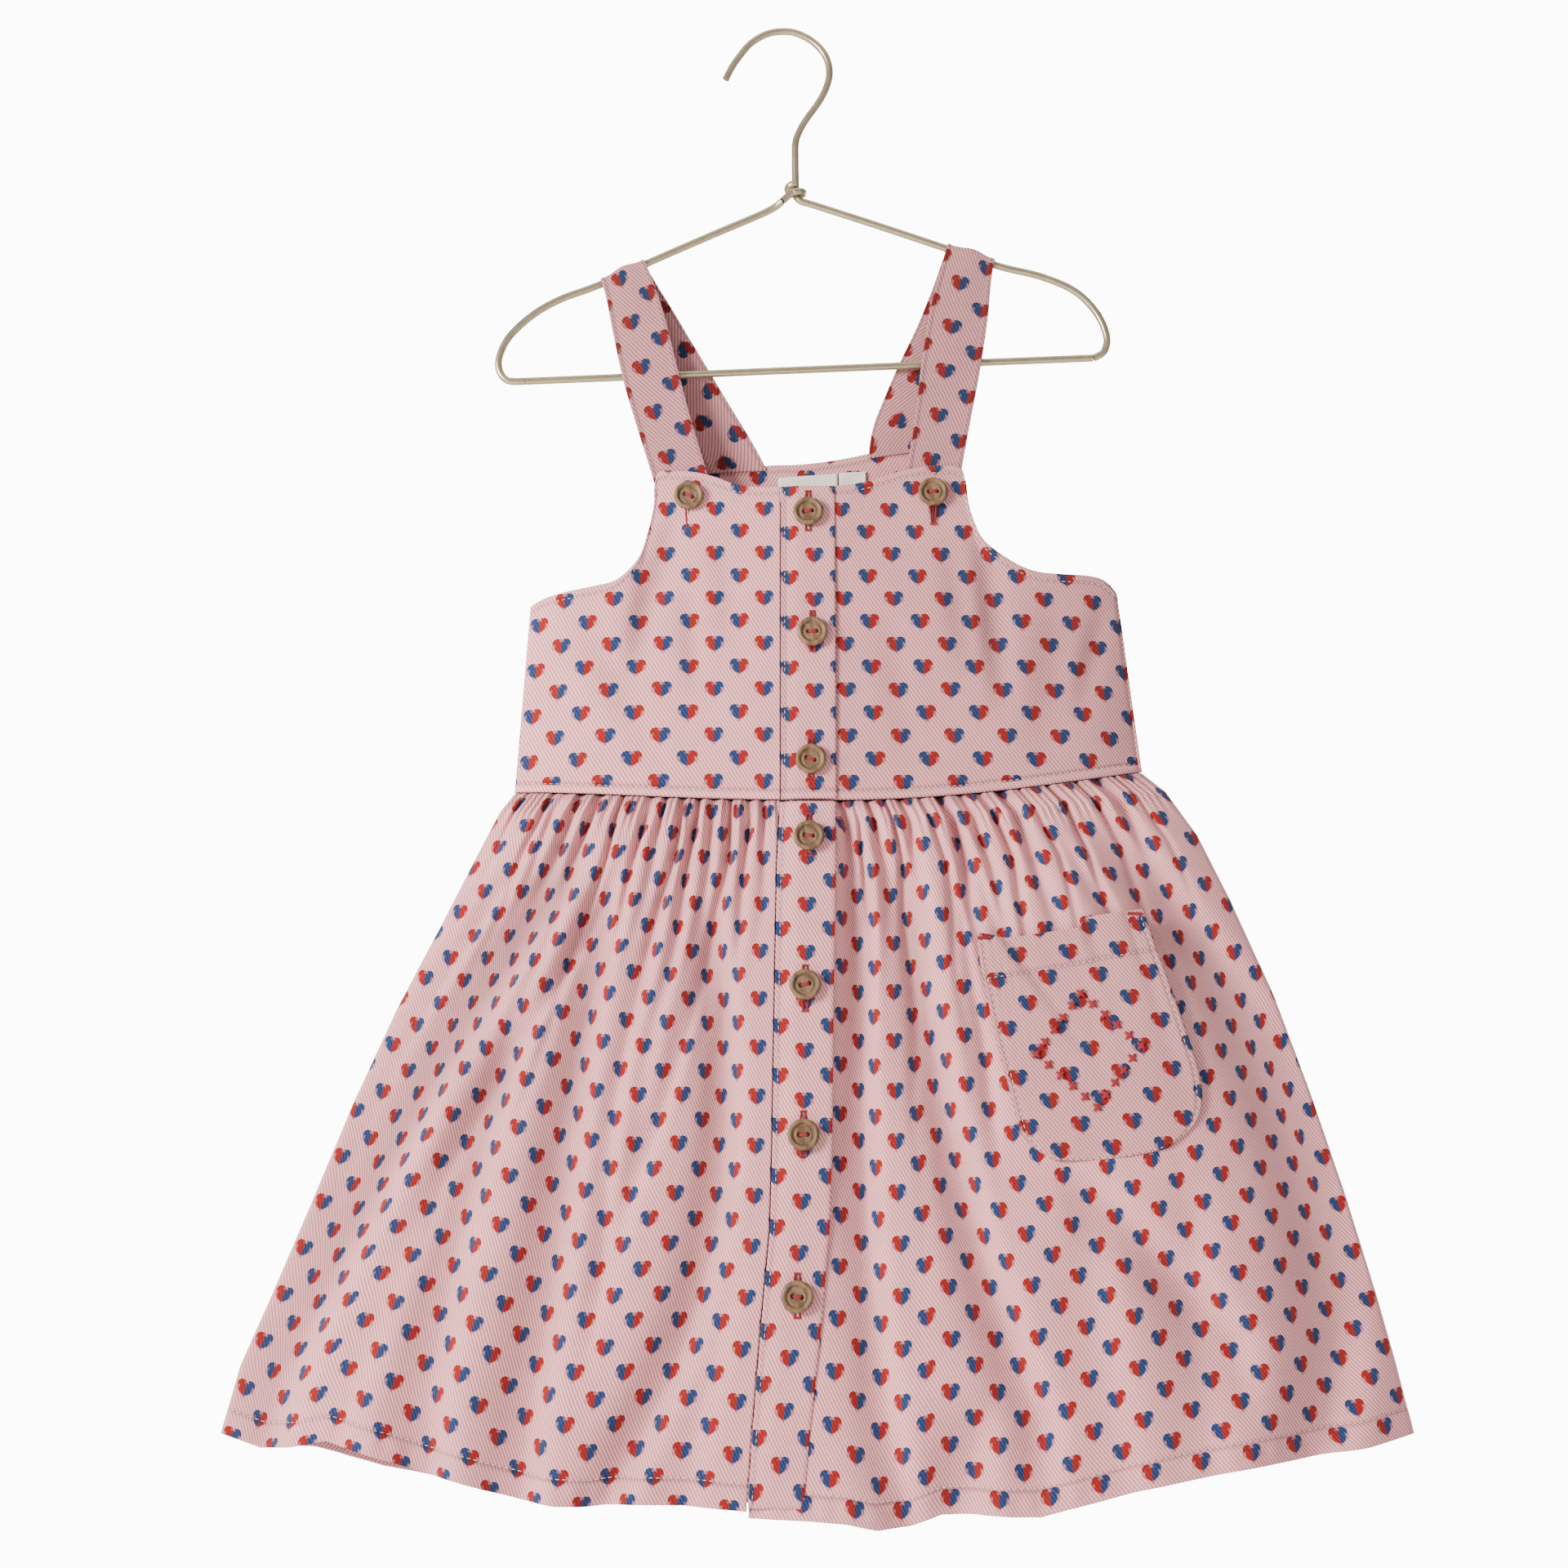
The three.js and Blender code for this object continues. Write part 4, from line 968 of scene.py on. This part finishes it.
# Pocket
def pocketSurface(a, b):
    rows = smoothRows(pocket["sections"], b)
    x = rows[:, 0] + (rows[:, 2] - rows[:, 0]) * a
    dip = ease(a / 0.22) * (1 - ease((a - 0.61) / 0.05))
    z = rows[:, 1] + (rows[:, 3] - rows[:, 1]) * a + np.minimum(rows[:, 4], 0) * 1.15 * dip * ease(1 - b / 0.3)
    z = z + rows[:, 4] * 4 * a * (1 - a) * ease((b - 0.6) / 0.2)
    down = b * 110
    hemLine = np.exp(-((down - pocket["hemDown"]) / 0.9) ** 2)
    out = 1.35 + 0.8 * ease((pocket["hemDown"] + 0.5 - down) / 1.5) - 0.5 * hemLine
    rim = np.minimum(np.minimum(a, 1 - a) * pocket["wide"], (1 - b) * 110)
    sewn = np.exp(-((rim - 2.6) / 0.9) ** 2) * ease(b / 0.02)
    out = out - 0.55 * np.exp(-(rim / 1.0) ** 2) - 0.5 * sewn
    fold = np.exp(-((a - 0.16 - 0.62 * b) / 0.035) ** 2) * ease(1 - b / 0.62)
    step = np.exp(-((a - 0.655 + 0.1 * b) / 0.03) ** 2) * ease(1 - b / 0.26)
    out = out - 1.3 * fold - 1.2 * step + 0.45 * softNoise(x / 18, z / 22, 6)
    # painted shade in the top fold and step, a painted shadow line round the rim, and painted shade in the stitched
    # grooves
    paintedShade = np.maximum(np.maximum(0.75 * fold, 0.8 * step), np.exp(-(rim / 0.7) ** 2))
    return withPaintedShade(x, frontOf(x, z, 7) - out, z, paintedShade, np.maximum(hemLine, sewn))


def pocketMap(a, b, points, grid):
    x, z = points[:, 0], points[:, 2]
    return np.stack([x + 0.19 * (z + 488), z + 488 - 0.06 * (x - 93)], axis=1)


pocketPatch = clothGrid("pocketPatch", 90, 100, pocketSurface, pocketMap, 1.0, -1, (0.6, 0.6))
wear(pocketPatch, clothPocket, "print_cloth", "pocket")
print("pocket made")

# Straps
strap = {
    "thick": 1.5,
    "wireRadius": 1.9,
    "leftFront": [
        # x, y, z, tilt in degrees, width
        [-44.0, -9.9, -283, 14, 27], [-50.5, -8.9, -256, 16, 27], [-60.5, -7.3, -222, 16, 27.5],
        [-67.5, -5.9, -196, 16, 28.5], [-74.0, -4.6, -168, 18, 28], [-78.8, -3.7, -149, 22, 26],
    ],
    "leftBend": [-82.5, -137.6, 25.5, 25],
    "leftBack": [
        [-75.5, 3.6, -151, 27, 26], [-69.5, 4.2, -162, 30, 27], [-55.0, 5.4, -187, 30, 27],
        [-41.0, 6.8, -211, 30, 27], [-30.5, 8.0, -229, 24, 27.5], [-23.0, 8.7, -243.5, 3, 30],
    ],
    "rightFront": [
        [72.0, -9.9, -281, -10, 27], [76.5, -8.8, -252, -10, 27], [82.0, -7.2, -220, -10, 28],
        [86.5, -5.8, -192, -10, 30], [91.5, -4.4, -161, -12, 30], [95.5, -3.6, -140, -18, 27],
    ],
    "rightBend": [98.0, -127.6, -20, 26],
    "rightBack": [
        [91.6, 3.8, -147, -21, 26.5], [82.8, 4.6, -170, -21, 27], [73.0, 5.6, -191, -21, 27],
        [65.0, 6.6, -210, -19, 27], [60.5, 7.4, -222, -8, 27.5], [58.6, 8.1, -234.2, 8, 28.5],
    ],
}


def strapRows(front, bend, back):
    x, z, tilt, width = bend
    radius = strap["wireRadius"] + 0.5 + strap["thick"] / 2
    turn = math.radians(tilt)
    over = []
    for degrees in (0, 45, 90, 135, 180):
        lift = radius * math.sin(math.radians(degrees))
        over.append([
            x - lift * math.sin(turn), -radius * math.cos(math.radians(degrees)),
            z + lift * math.cos(turn), tilt, width,
        ])
    return (front + over + back)[::-1]


def strapSurface(rows):
    def surface(a, b):
        here = smoothRows(rows, b)
        tilt = np.radians(here[:, 3])
        across = np.stack([np.cos(tilt), 0 * tilt, np.sin(tilt)], axis=1)
        step = smoothRows(rows, np.clip(b + 0.004, 0, 1)) - smoothRows(rows, np.clip(b - 0.004, 0, 1))
        along = step[:, :3] / np.linalg.norm(step[:, :3], axis=1)[:, None]
        out = np.cross(along, across)
        out = out / np.linalg.norm(out, axis=1)[:, None]
        edge = np.minimum(a, 1 - a) * here[:, 4]
        sewn = np.exp(-((edge - 1.4) / 0.5) ** 2)
        lift = 0.15 - 0.4 * sewn - 0.35 * np.exp(-(edge / 0.7) ** 2)
        lift = lift + 0.3 * softNoise(a * 2.4, here[:, 2] / 15, 8)
        overWire = np.exp(-(here[:, 1] / 3.2) ** 2)
        lift = lift + overWire * (1.9 * ((a - 0.55) * 2) ** 2 + 0.5 * np.sin(a * 9))
        place = here[:, :3] + across * ((a - 0.5) * here[:, 4])[:, None] - out * lift[:, None]
        # painted shade in the stitched grooves along both edges
        return withPaintedShade(*place.T, 0, sewn)
    return surface


def strapMap(a, b, points, grid, drawn):
    rows, columns = grid.shape[:2]
    middle = grid[:, columns // 2]
    steps = np.linalg.norm(np.diff(middle, axis=0), axis=1)
    run = np.concatenate([[0], np.cumsum(steps)]) * drawn
    j = np.round(b * (rows - 1)).astype(int)
    return np.stack([a * 27, -run[j]], axis=1)


def strapMapLeft(*given):
    return strapMap(*given, 0.907)


def strapMapRight(*given):
    return strapMap(*given, 0.94)


strapFaces = {
    "left": strapSurface(strapRows(strap["leftFront"], strap["leftBend"], strap["leftBack"])),
    "right": strapSurface(strapRows(strap["rightFront"], strap["rightBend"], strap["rightBack"])),
}
strapLeft = clothGrid("strapLeft", 30, 190, strapFaces["left"], strapMapLeft, 1.5, 0, (0.5, 0))
wear(strapLeft, clothStrapLeft, "print_cloth", "strap_left")
strapRight = clothGrid("strapRight", 30, 190, strapFaces["right"], strapMapRight, 1.5, 0, (0.5, 0))
wear(strapRight, clothStrapRight, "print_cloth", "strap_right")
print("straps made")

# Labels inside the back neck
labels = {
    "main": {"left": -2, "right": 28.5, "top": -247, "height": 13, "node": "label_main"},
    "small": {"left": 29.2, "right": 43, "top": -244.5, "height": 8, "node": "label_small"},
}
for name, size in labels.items():
    def labelSurface(a, b, size=size):
        x = size["left"] + (size["right"] - size["left"]) * a
        z = size["top"] - size["height"] * b + (x - size["left"]) * 0.08
        y = bodiceY(1, x, z) - 2.3 - 0.25 * np.sin(a * 5 + b * 3)
        return withPaintedShade(x, y, z)
    label = clothGrid("label" + name.capitalize(), 24, 12, labelSurface, plainMap, 0.4)
    wear(label, labelTape, "label_tape", size["node"])


# Sewing
def sewLine(work, points, way, pitch=3.1, long=2.5, thick=0.42):
    """Short raised stitches along a line of points; way is the cloth's outward direction at each."""
    points = np.asarray(points, float)
    way = np.asarray(way, float)
    run = np.concatenate([[0], np.cumsum(np.linalg.norm(np.diff(points, axis=0), axis=1))])
    count = int(run[-1] / pitch)
    for n in range(count):
        centre = (n + 0.5) * pitch
        ends = [np.array([np.interp(centre + k * long / 2, run, points[:, c]) for c in range(3)]) for k in (-1, 1)]
        out = np.array([np.interp(centre, run, way[:, c]) for c in range(3)])
        along = ends[1] - ends[0]
        size = np.linalg.norm(along)
        if size < 1e-6:
            continue
        along = along / size
        out = out - along * (out @ along)
        out = out / max(np.linalg.norm(out), 1e-6)
        side = np.cross(out, along)
        middle = (ends[0] + ends[1]) / 2 + out * thick * 0.15
        turn = Matrix((
            (along[0] * size / 2, side[0] * thick / 2, out[0] * thick / 2, middle[0]),
            (along[1] * size / 2, side[1] * thick / 2, out[1] * thick / 2, middle[1]),
            (along[2] * size / 2, side[2] * thick / 2, out[2] * thick / 2, middle[2]),
            (0, 0, 0, 1),
        ))
        bmesh.ops.create_icosphere(work, subdivisions=1, radius=1, matrix=Matrix.Scale(metre, 4) @ turn)


def onFace(surface, a, b, side):
    a = np.asarray(a, float)
    b = np.broadcast_to(np.asarray(b, float), a.shape).astype(float)
    points = surface(a, b)[:, :3]
    step = 0.004
    across = surface(np.clip(a + step, 0, 1), b) - surface(np.clip(a - step, 0, 1), b)
    down = surface(a, np.clip(b + step, 0, 1)) - surface(a, np.clip(b - step, 0, 1))
    out = np.cross(down[:, :3], across[:, :3])
    out = out / np.maximum(np.linalg.norm(out, axis=1), 1e-9)[:, None]
    return points, out


def sewnPiece(name, lines, material, slot, **sizes):
    work = bmesh.new()
    for points, way in lines:
        sewLine(work, points, way, **sizes)
    for face in work.faces:
        face.smooth = True
    mesh = bpy.data.meshes.new(name)
    work.to_mesh(mesh)
    work.free()
    item = bpy.data.objects.new(name, mesh)
    bpy.context.scene.collection.objects.link(item)
    return wear(item, material, slot)


def edgeShare(lines, distance, flip=False):
    """How far down each line of a bodice panel a distance from its top edge lies."""
    def share(a):
        top = smoothRows(lines, 1 - a if flip else a)
        return distance / (top[:, 1] - waistZ(top[:, 2]))
    return share


fullRun = np.linspace(0, 1, 240)
seams = []
for key, lines, flip in (("left", "leftLines", False), ("right", "rightLines", False), ("back", "backLines", True)):
    surface = bodiceFaces[key]
    share = edgeShare(bodice[lines], bodice["topStitch"], flip)(fullRun)
    seams.append(onFace(surface, fullRun, share, -1))
    foot = 1 - edgeShare(bodice[lines], 4.6, flip)(fullRun)
    seams.append(onFace(surface, fullRun, foot, -1))
sewnPiece("bodiceStitches", seams, palePinkThread, "print_cloth", thick=0.34)

seams = []
for key in ("left", "right", "back"):
    run = np.linspace(0, 1, 400)
    b = np.interp(1 - (skirt["hemStitch"] + 0.4) / 318, denser(run, 0.6), run)
    seams.append(onFace(skirtFaces[key], np.linspace(0.004, 0.996, 400), b, -1))
sewnPiece("hemStitches", seams, palePinkThread, "print_cloth")

seams = [
    onFace(bandBodiceSurface, np.full(160, 0.065), np.linspace(0.01, 0.99, 160), -1),
    onFace(bandSkirtSurface, np.full(260, 0.07), np.linspace(0.005, 0.995, 260), -1),
    onFace(bandBodiceSurface, np.linspace(0.02, 0.98, 20), np.full(20, 0.972), -1),
]
sewnPiece("bandStitches", seams, palePinkThread, "print_cloth", thick=0.3)

down = np.linspace(0.0, 0.985, 160)
seams = [
    onFace(pocketSurface, np.full(160, 0.028), down, -1),
    onFace(pocketSurface, np.full(160, 0.972), down, -1),
    onFace(pocketSurface, np.linspace(0.03, 0.97, 120), np.full(120, 0.976), -1),
    onFace(pocketSurface, np.linspace(0.02, 0.98, 120), np.full(120, pocket["hemDown"] / 110), -1),
]
sewnPiece("pocketStitches", seams, palePinkThread, "print_cloth")
print("sewing made")

# Buttons
buttons = {
    "radius": 7.5,
    "thick": 3.4,
    "holeRadius": 1.15,
    "holeX": 1.9,
    "places": [
        # node, x, z, turn in degrees, buttonhole up, buttonhole down
        ["button_strap_left", -47, -264, -22, 0, 16.5],
        ["button_strap_right", 76, -262, 4, 0, 16.5],
        ["button_bodice_1", 13, -273, 8, 11.5, 9.5],
        ["button_bodice_2", 15, -336, 4, 11.0, 9.5],
        ["button_bodice_3", 14, -401, -18, 10.5, 9.0],
        ["button_skirt_1", 13, -440, -6, 11.5, 9.5],
        ["button_skirt_2", 11, -513, 14, 9.5, 12.5],
        ["button_skirt_3", 10, -584, 2, 11.0, 9.5],
        ["button_skirt_4", 7, -658, -8, 10.5, 9.5],
    ],
    "profile": [
        # radius, height above the back
        [0, 0], [6.1, 0], [6.9, 0.35], [7.35, 1.0], [7.5, 1.8], [7.4, 2.6], [7.1, 3.1], [6.6, 3.38],
        [6.1, 3.4], [5.6, 3.2], [5.2, 2.75], [5.0, 2.25], [4.75, 2.0], [4.45, 2.2], [4.1, 2.35],
        [3.4, 2.3], [1.8, 2.15], [0, 2.1],
    ],
}


def buttonMesh():
    work = bmesh.new()
    verts = [work.verts.new((r * metre, 0, h * metre)) for r, h in buttons["profile"]]
    edges = [work.edges.new(pair) for pair in zip(verts, verts[1:])]
    bmesh.ops.spin(
        work, geom=verts + edges, cent=(0, 0, 0), axis=(0, 0, 1),
        angle=2 * math.pi, steps=48, use_merge=True, use_duplicate=False,
    )
    bmesh.ops.remove_doubles(work, verts=work.verts[:], dist=1e-6)
    bmesh.ops.recalc_face_normals(work, faces=work.faces[:])
    mesh = bpy.data.meshes.new("buttonTurned")
    work.to_mesh(mesh)
    work.free()
    blank = bpy.data.objects.new("buttonBlank", mesh)
    bpy.context.scene.collection.objects.link(blank)
    for side in (-1, 1):
        drillWork = bmesh.new()
        bmesh.ops.create_cone(
            drillWork, cap_ends=True, segments=20, radius1=buttons["holeRadius"] * metre,
            radius2=buttons["holeRadius"] * metre, depth=0.012,
            matrix=Matrix.Translation((side * buttons["holeX"] * metre, 0, 0)),
        )
        drillMesh = bpy.data.meshes.new("drill")
        drillWork.to_mesh(drillMesh)
        drillWork.free()
        drill = bpy.data.objects.new("drill", drillMesh)
        bpy.context.scene.collection.objects.link(drill)
        cut = blank.modifiers.new("hole", "BOOLEAN")
        cut.object = drill
        cut.operation = "DIFFERENCE"
        bpy.context.view_layer.update()
        result = bpy.data.meshes.new_from_object(blank.evaluated_get(bpy.context.evaluated_depsgraph_get()))
        blank.modifiers.clear()
        blank.data = result
        bpy.data.objects.remove(drill)
    done = blank.data
    bpy.data.objects.remove(blank)
    return done


def seatOf(node):
    """Centre of a button's back, and the way it faces, from its CAD node."""
    low, high = (np.array(corner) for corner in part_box(node))
    centre = (low + high) / 2
    lean = max(0.0, (high[1] - low[1]) * 1000 - buttons["thick"]) / (2 * buttons["radius"])
    return Vector((centre[0], high[1], centre[2])), lean


buttonShape = buttonMesh()
threads = bmesh.new()
holesWork = bmesh.new()
for node, x, z, turnDegrees, holeUp, holeDown in buttons["places"]:
    seat, lean = seatOf(node)
    low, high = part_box(node)
    middleY = (low[1] + high[1]) / 2
    facing = (
        Matrix.Translation((x * metre, middleY, z * metre))
        @ Matrix.Rotation(-lean, 4, "X")
        @ Matrix.Rotation(math.radians(90), 4, "X")
        @ Matrix.Rotation(math.radians(turnDegrees), 4, "Z")
        @ Matrix.Translation((0, 0, -buttons["thick"] / 2 * metre))
    )
    mesh = buttonShape.copy()
    mesh.transform(facing)
    name = "wood_" + node
    mesh.name = name
    item = bpy.data.objects.new(name, mesh)
    bpy.context.scene.collection.objects.link(item)
    for face in mesh.polygons:
        face.use_smooth = True
    wear(item, buttonWood, "button_wood", node)
    for row in (-0.5, 0.0, 0.5):
        shape = (
            facing @ Matrix.Translation((0, row * metre, 2.25 * metre))
            @ Matrix.Diagonal((2.3 * metre, 0.36 * metre, 0.42 * metre, 1))
        )
        bmesh.ops.create_icosphere(threads, subdivisions=2, radius=1, matrix=shape)
    bmesh.ops.create_cone(
        threads, cap_ends=True, segments=10, radius1=1.5 * metre, radius2=1.3 * metre, depth=0.9 * metre,
        matrix=facing @ Matrix.Translation((0, 0, -0.4 * metre)),
    )
threadMesh = bpy.data.meshes.new("buttonThreads")
for face in threads.faces:
    face.smooth = True
threads.to_mesh(threadMesh)
threads.free()
threadItem = bpy.data.objects.new("buttonThreads", threadMesh)
bpy.context.scene.collection.objects.link(threadItem)
wear(threadItem, redThread, "button_wood")
print("buttons made")


# Buttonholes and bar tacks in red thread
def frontFaceY(x, z):
    """Outer face of whatever lies foremost on the dress's front."""
    x = np.asarray(x, float)
    z = np.asarray(z, float)
    foot = bodice["waistZ"] + 0.2
    onBand = (x > -1) & (x < 27)
    bodiceFront = bodiceY(-1, x, z) - np.where(onBand, 1.75, 0.1)
    skirtFront = frontOf(x, z, 5) - 1.85
    return np.where(z > foot, bodiceFront, skirtFront)


def satinBar(work, x, z, wide, tall, thick=0.5, lift=0.1, tilt=0.0, pitch=0.42, face=None):
    """A bar of close side-by-side stitches, each lying across the bar's length."""
    across = wide < tall
    long = tall if across else wide
    short = wide if across else tall
    count = max(2, int(long / pitch))
    turn = math.radians(tilt)
    for n in range(count):
        t = (n + 0.5) / count - 0.5
        px, pz = (0, t * long) if across else (t * long, 0)
        dx, dz = (short / 2, 0) if across else (0, short / 2)
        cx = x + px * math.cos(turn) - pz * math.sin(turn)
        cz = z + px * math.sin(turn) + pz * math.cos(turn)
        ex = dx * math.cos(turn) - dz * math.sin(turn)
        ez = dx * math.sin(turn) + dz * math.cos(turn)
        y = (float(frontFaceY([cx], [cz])[0]) if face is None else face) - lift
        along = np.array([ex, 0, ez])
        size = np.linalg.norm(along)
        along = along / size
        side = np.array([-along[2], 0, along[0]])
        shape = Matrix((
            (along[0] * size, side[0] * pitch * 0.62, 0, cx),
            (0, 0, thick / 2, y),
            (along[2] * size, side[2] * pitch * 0.62, 0, cz),
            (0, 0, 0, 1),
        ))
        bmesh.ops.create_icosphere(work, subdivisions=1, radius=1, matrix=Matrix.Scale(metre, 4) @ shape)


motif = {
    # a lozenge of cross-stitches on the pocket
    "centre": (145, -544),
    "reach": (25, 27),
    "count": 20,
    "size": 5.4,
}
holeWork = bmesh.new()
slitWork = bmesh.new()
for node, x, z, turnDegrees, up, down in buttons["places"]:
    top = z + up
    foot = z - down
    middle = (top + foot) / 2
    tall = top - foot
    for side in (-1, 1):
        if up:
            satinBar(holeWork, x + side * 1.35, z + (up + 3) / 2, 1.4, up - 3, tilt=side * 7)
        satinBar(holeWork, x + side * 1.35, z - (down + 3) / 2, 1.4, down - 3, tilt=-side * 5)
    satinBar(holeWork, x, foot, 3.6, 1.5)
    if up:
        satinBar(holeWork, x, top, 3.2, 1.4)
    # a dark sliver in the cut: painted shadow
    y = float(frontFaceY([x], [middle])[0]) - 0.05
    bmesh.ops.create_icosphere(
        slitWork, subdivisions=2, radius=1,
        matrix=Matrix.Translation((x * metre, y * metre, middle * metre))
        @ Matrix.Diagonal((0.45 * metre, 0.2 * metre, tall / 2 * metre, 1)),
    )
tackWork = bmesh.new()
crossWork = bmesh.new()
for a, down, tilt in ((0.045, 2.6, 4), (0.94, 2.6, -2)):
    point = pocketSurface(np.array([a]), np.array([down / 110]))[0, :3]
    satinBar(tackWork, point[0], point[2], 7.0, 1.9, 1.0, 0.3, tilt, 0.42, point[1])
for n in range(motif["count"]):
    side, along = divmod(n, motif["count"] // 4)
    along = along * 4 / motif["count"]
    corners = [(0, 1), (1, 0), (0, -1), (-1, 0), (0, 1)]
    across = corners[side][0] * (1 - along) + corners[side + 1][0] * along
    up = corners[side][1] * (1 - along) + corners[side + 1][1] * along
    x = motif["centre"][0] + across * motif["reach"][0] - up * 3
    z = motif["centre"][1] + up * motif["reach"][1] + across * 2
    y = float(frontOf(np.array([x]), np.array([z]), 7)[0]) - 1.9
    for tilt in (50, -40):
        for shift in (-0.3, 0.3):
            turn = math.radians(tilt)
            shape = (
                Matrix.Translation(((x - shift * math.sin(turn)) * metre, y * metre, (z + shift * math.cos(turn)) * metre))
                @ Matrix.Rotation(-turn, 4, "Y")
                @ Matrix.Diagonal((motif["size"] / 2 * metre, 0.7 * metre, 0.5 * metre, 1))
            )
            bmesh.ops.create_icosphere(crossWork, subdivisions=2, radius=1, matrix=shape)
for name, work, material in (
    ("buttonholes", holeWork, redThread), ("buttonholeSlits", slitWork, slitShadow),
    ("pocketTacks", tackWork, redThread), ("pocketCrosses", crossWork, redThread),
):
    for face in work.faces:
        face.smooth = True
    bmesh.ops.recalc_face_normals(work, faces=work.faces[:])
    mesh = bpy.data.meshes.new(name)
    work.to_mesh(mesh)
    work.free()
    item = bpy.data.objects.new(name, mesh)
    bpy.context.scene.collection.objects.link(item)
    wear(item, material, "print_cloth")
print("buttonholes made")

# Hanger
hanger = {
    "radius": 1.9,
    "hook": [
        # x, z
        [-30, -26], [-27, -19.5], [-23, -13], [-17, -5.2], [-9, 0.2], [-1, 2], [7, 1.2], [15, -3],
        [21, -9], [24.3, -16], [25, -24], [23, -32], [19, -40], [13, -49], [9.2, -56], [7, -63],
        [6.8, -72], [6.9, -82], [7, -90], [7.6, -94], [10, -96.4], [14, -97.6],
    ],
    "armRight": [
        [14.2, -97.7], [48, -109.5], [81, -121.4], [98, -127.6], [115, -133.7], [135, -139],
        [152, -147], [163, -159], [168, -172], [166.5, -180.5], [161, -184.2],
    ],
    "armLeft": [
        [-132.6, -197], [-141.5, -196.6], [-146, -191], [-146, -183], [-141, -172], [-129, -160],
        [-115, -151.5], [-99, -145.2], [-82.5, -137.6], [-67, -129.8], [-36, -115.2], [-8, -102.2],
    ],
    "bar": [[-132.4, -197.0], [-60, -193.85], [90, -187.25], [160.6, -184.2]],
}


def wirePiece(name, points, node, closedEnds=True):
    curve = bpy.data.curves.new(name, "CURVE")
    curve.dimensions = "3D"
    curve.bevel_depth = hanger["radius"] * metre
    curve.bevel_resolution = 6
    curve.use_fill_caps = True
    line = curve.splines.new("POLY")
    fine = smoothRows([list(p) for p in points], np.linspace(0, 1, 12 * len(points)))
    line.points.add(len(fine) - 1)
    for target, place in zip(line.points, fine):
        target.co = (*(place * metre), 1)
    holder = bpy.data.objects.new(name + "Curve", curve)
    bpy.context.scene.collection.objects.link(holder)
    bpy.context.view_layer.update()
    mesh = bpy.data.meshes.new_from_object(holder.evaluated_get(bpy.context.evaluated_depsgraph_get()))
    bpy.data.objects.remove(holder)
    mesh.name = name
    item = bpy.data.objects.new(name, mesh)
    bpy.context.scene.collection.objects.link(item)
    for face in mesh.polygons:
        face.use_smooth = True
    return wear(item, hangerWire, "hanger_wire", node)


flat = lambda rows: [(x, 0, z) for x, z in rows]
wirePiece("wireHook", flat(hanger["hook"]), "hanger_hook")
wirePiece("wireArmRight", flat(hanger["armRight"]), "hanger_arm_right")
wirePiece("wireArmLeft", flat(hanger["armLeft"]) + [(0.2, -2.9, -97.7)], "hanger_arm_left")
wirePiece("wireBar", flat(hanger["bar"]), "hanger_bar")
wrap = [(0.4, -3.0, -97.4)]
for i in range(15):
    angle = math.radians(-115 + 390 * i / 14)
    wrap.append((7 + 4.1 * math.cos(angle), 4.1 * math.sin(angle), -93.2 + 5 * i / 14))
wirePiece("wireWrap", wrap, "hanger_wrap")
print("hanger made")

# The cut of each cloth piece, in metres
cuts = [
    (bodiceLeft, (0.135, 0.17), "hung", 0.0185, ["strap_left"]),
    (bodiceRight, (0.18, 0.175), "hung", 0.0255, ["strap_right"]),
    (bodiceBack, (0.31, 0.19), "hung", 0.045, ["strap_left", "strap_right"]),
    (skirtLeft, (0.285, 0.336), "gathered", None, ["bodice_front_left"]),
    (skirtRight, (0.338, 0.34), "gathered", None, ["bodice_front_right"]),
    (skirtBack, (0.6, 0.336), "gathered", None, ["bodice_back"]),
    (bandBodice, (0.027, 0.163), "hung", None, ["bodice_front_left"]),
    (bandSkirt, (0.029, 0.333), "hung", None, ["skirt_front_left"]),
    (pocketPatch, (0.093, 0.115), "hung", None, ["skirt_front_right"]),
    (strapLeft, (0.027, 0.275), "hung", None, ["hanger_arm_left"]),
    (strapRight, (0.027, 0.27), "hung", None, ["hanger_arm_right"]),
]
for piece, size, held, area, restsOn in cuts:
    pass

print("all pieces made")
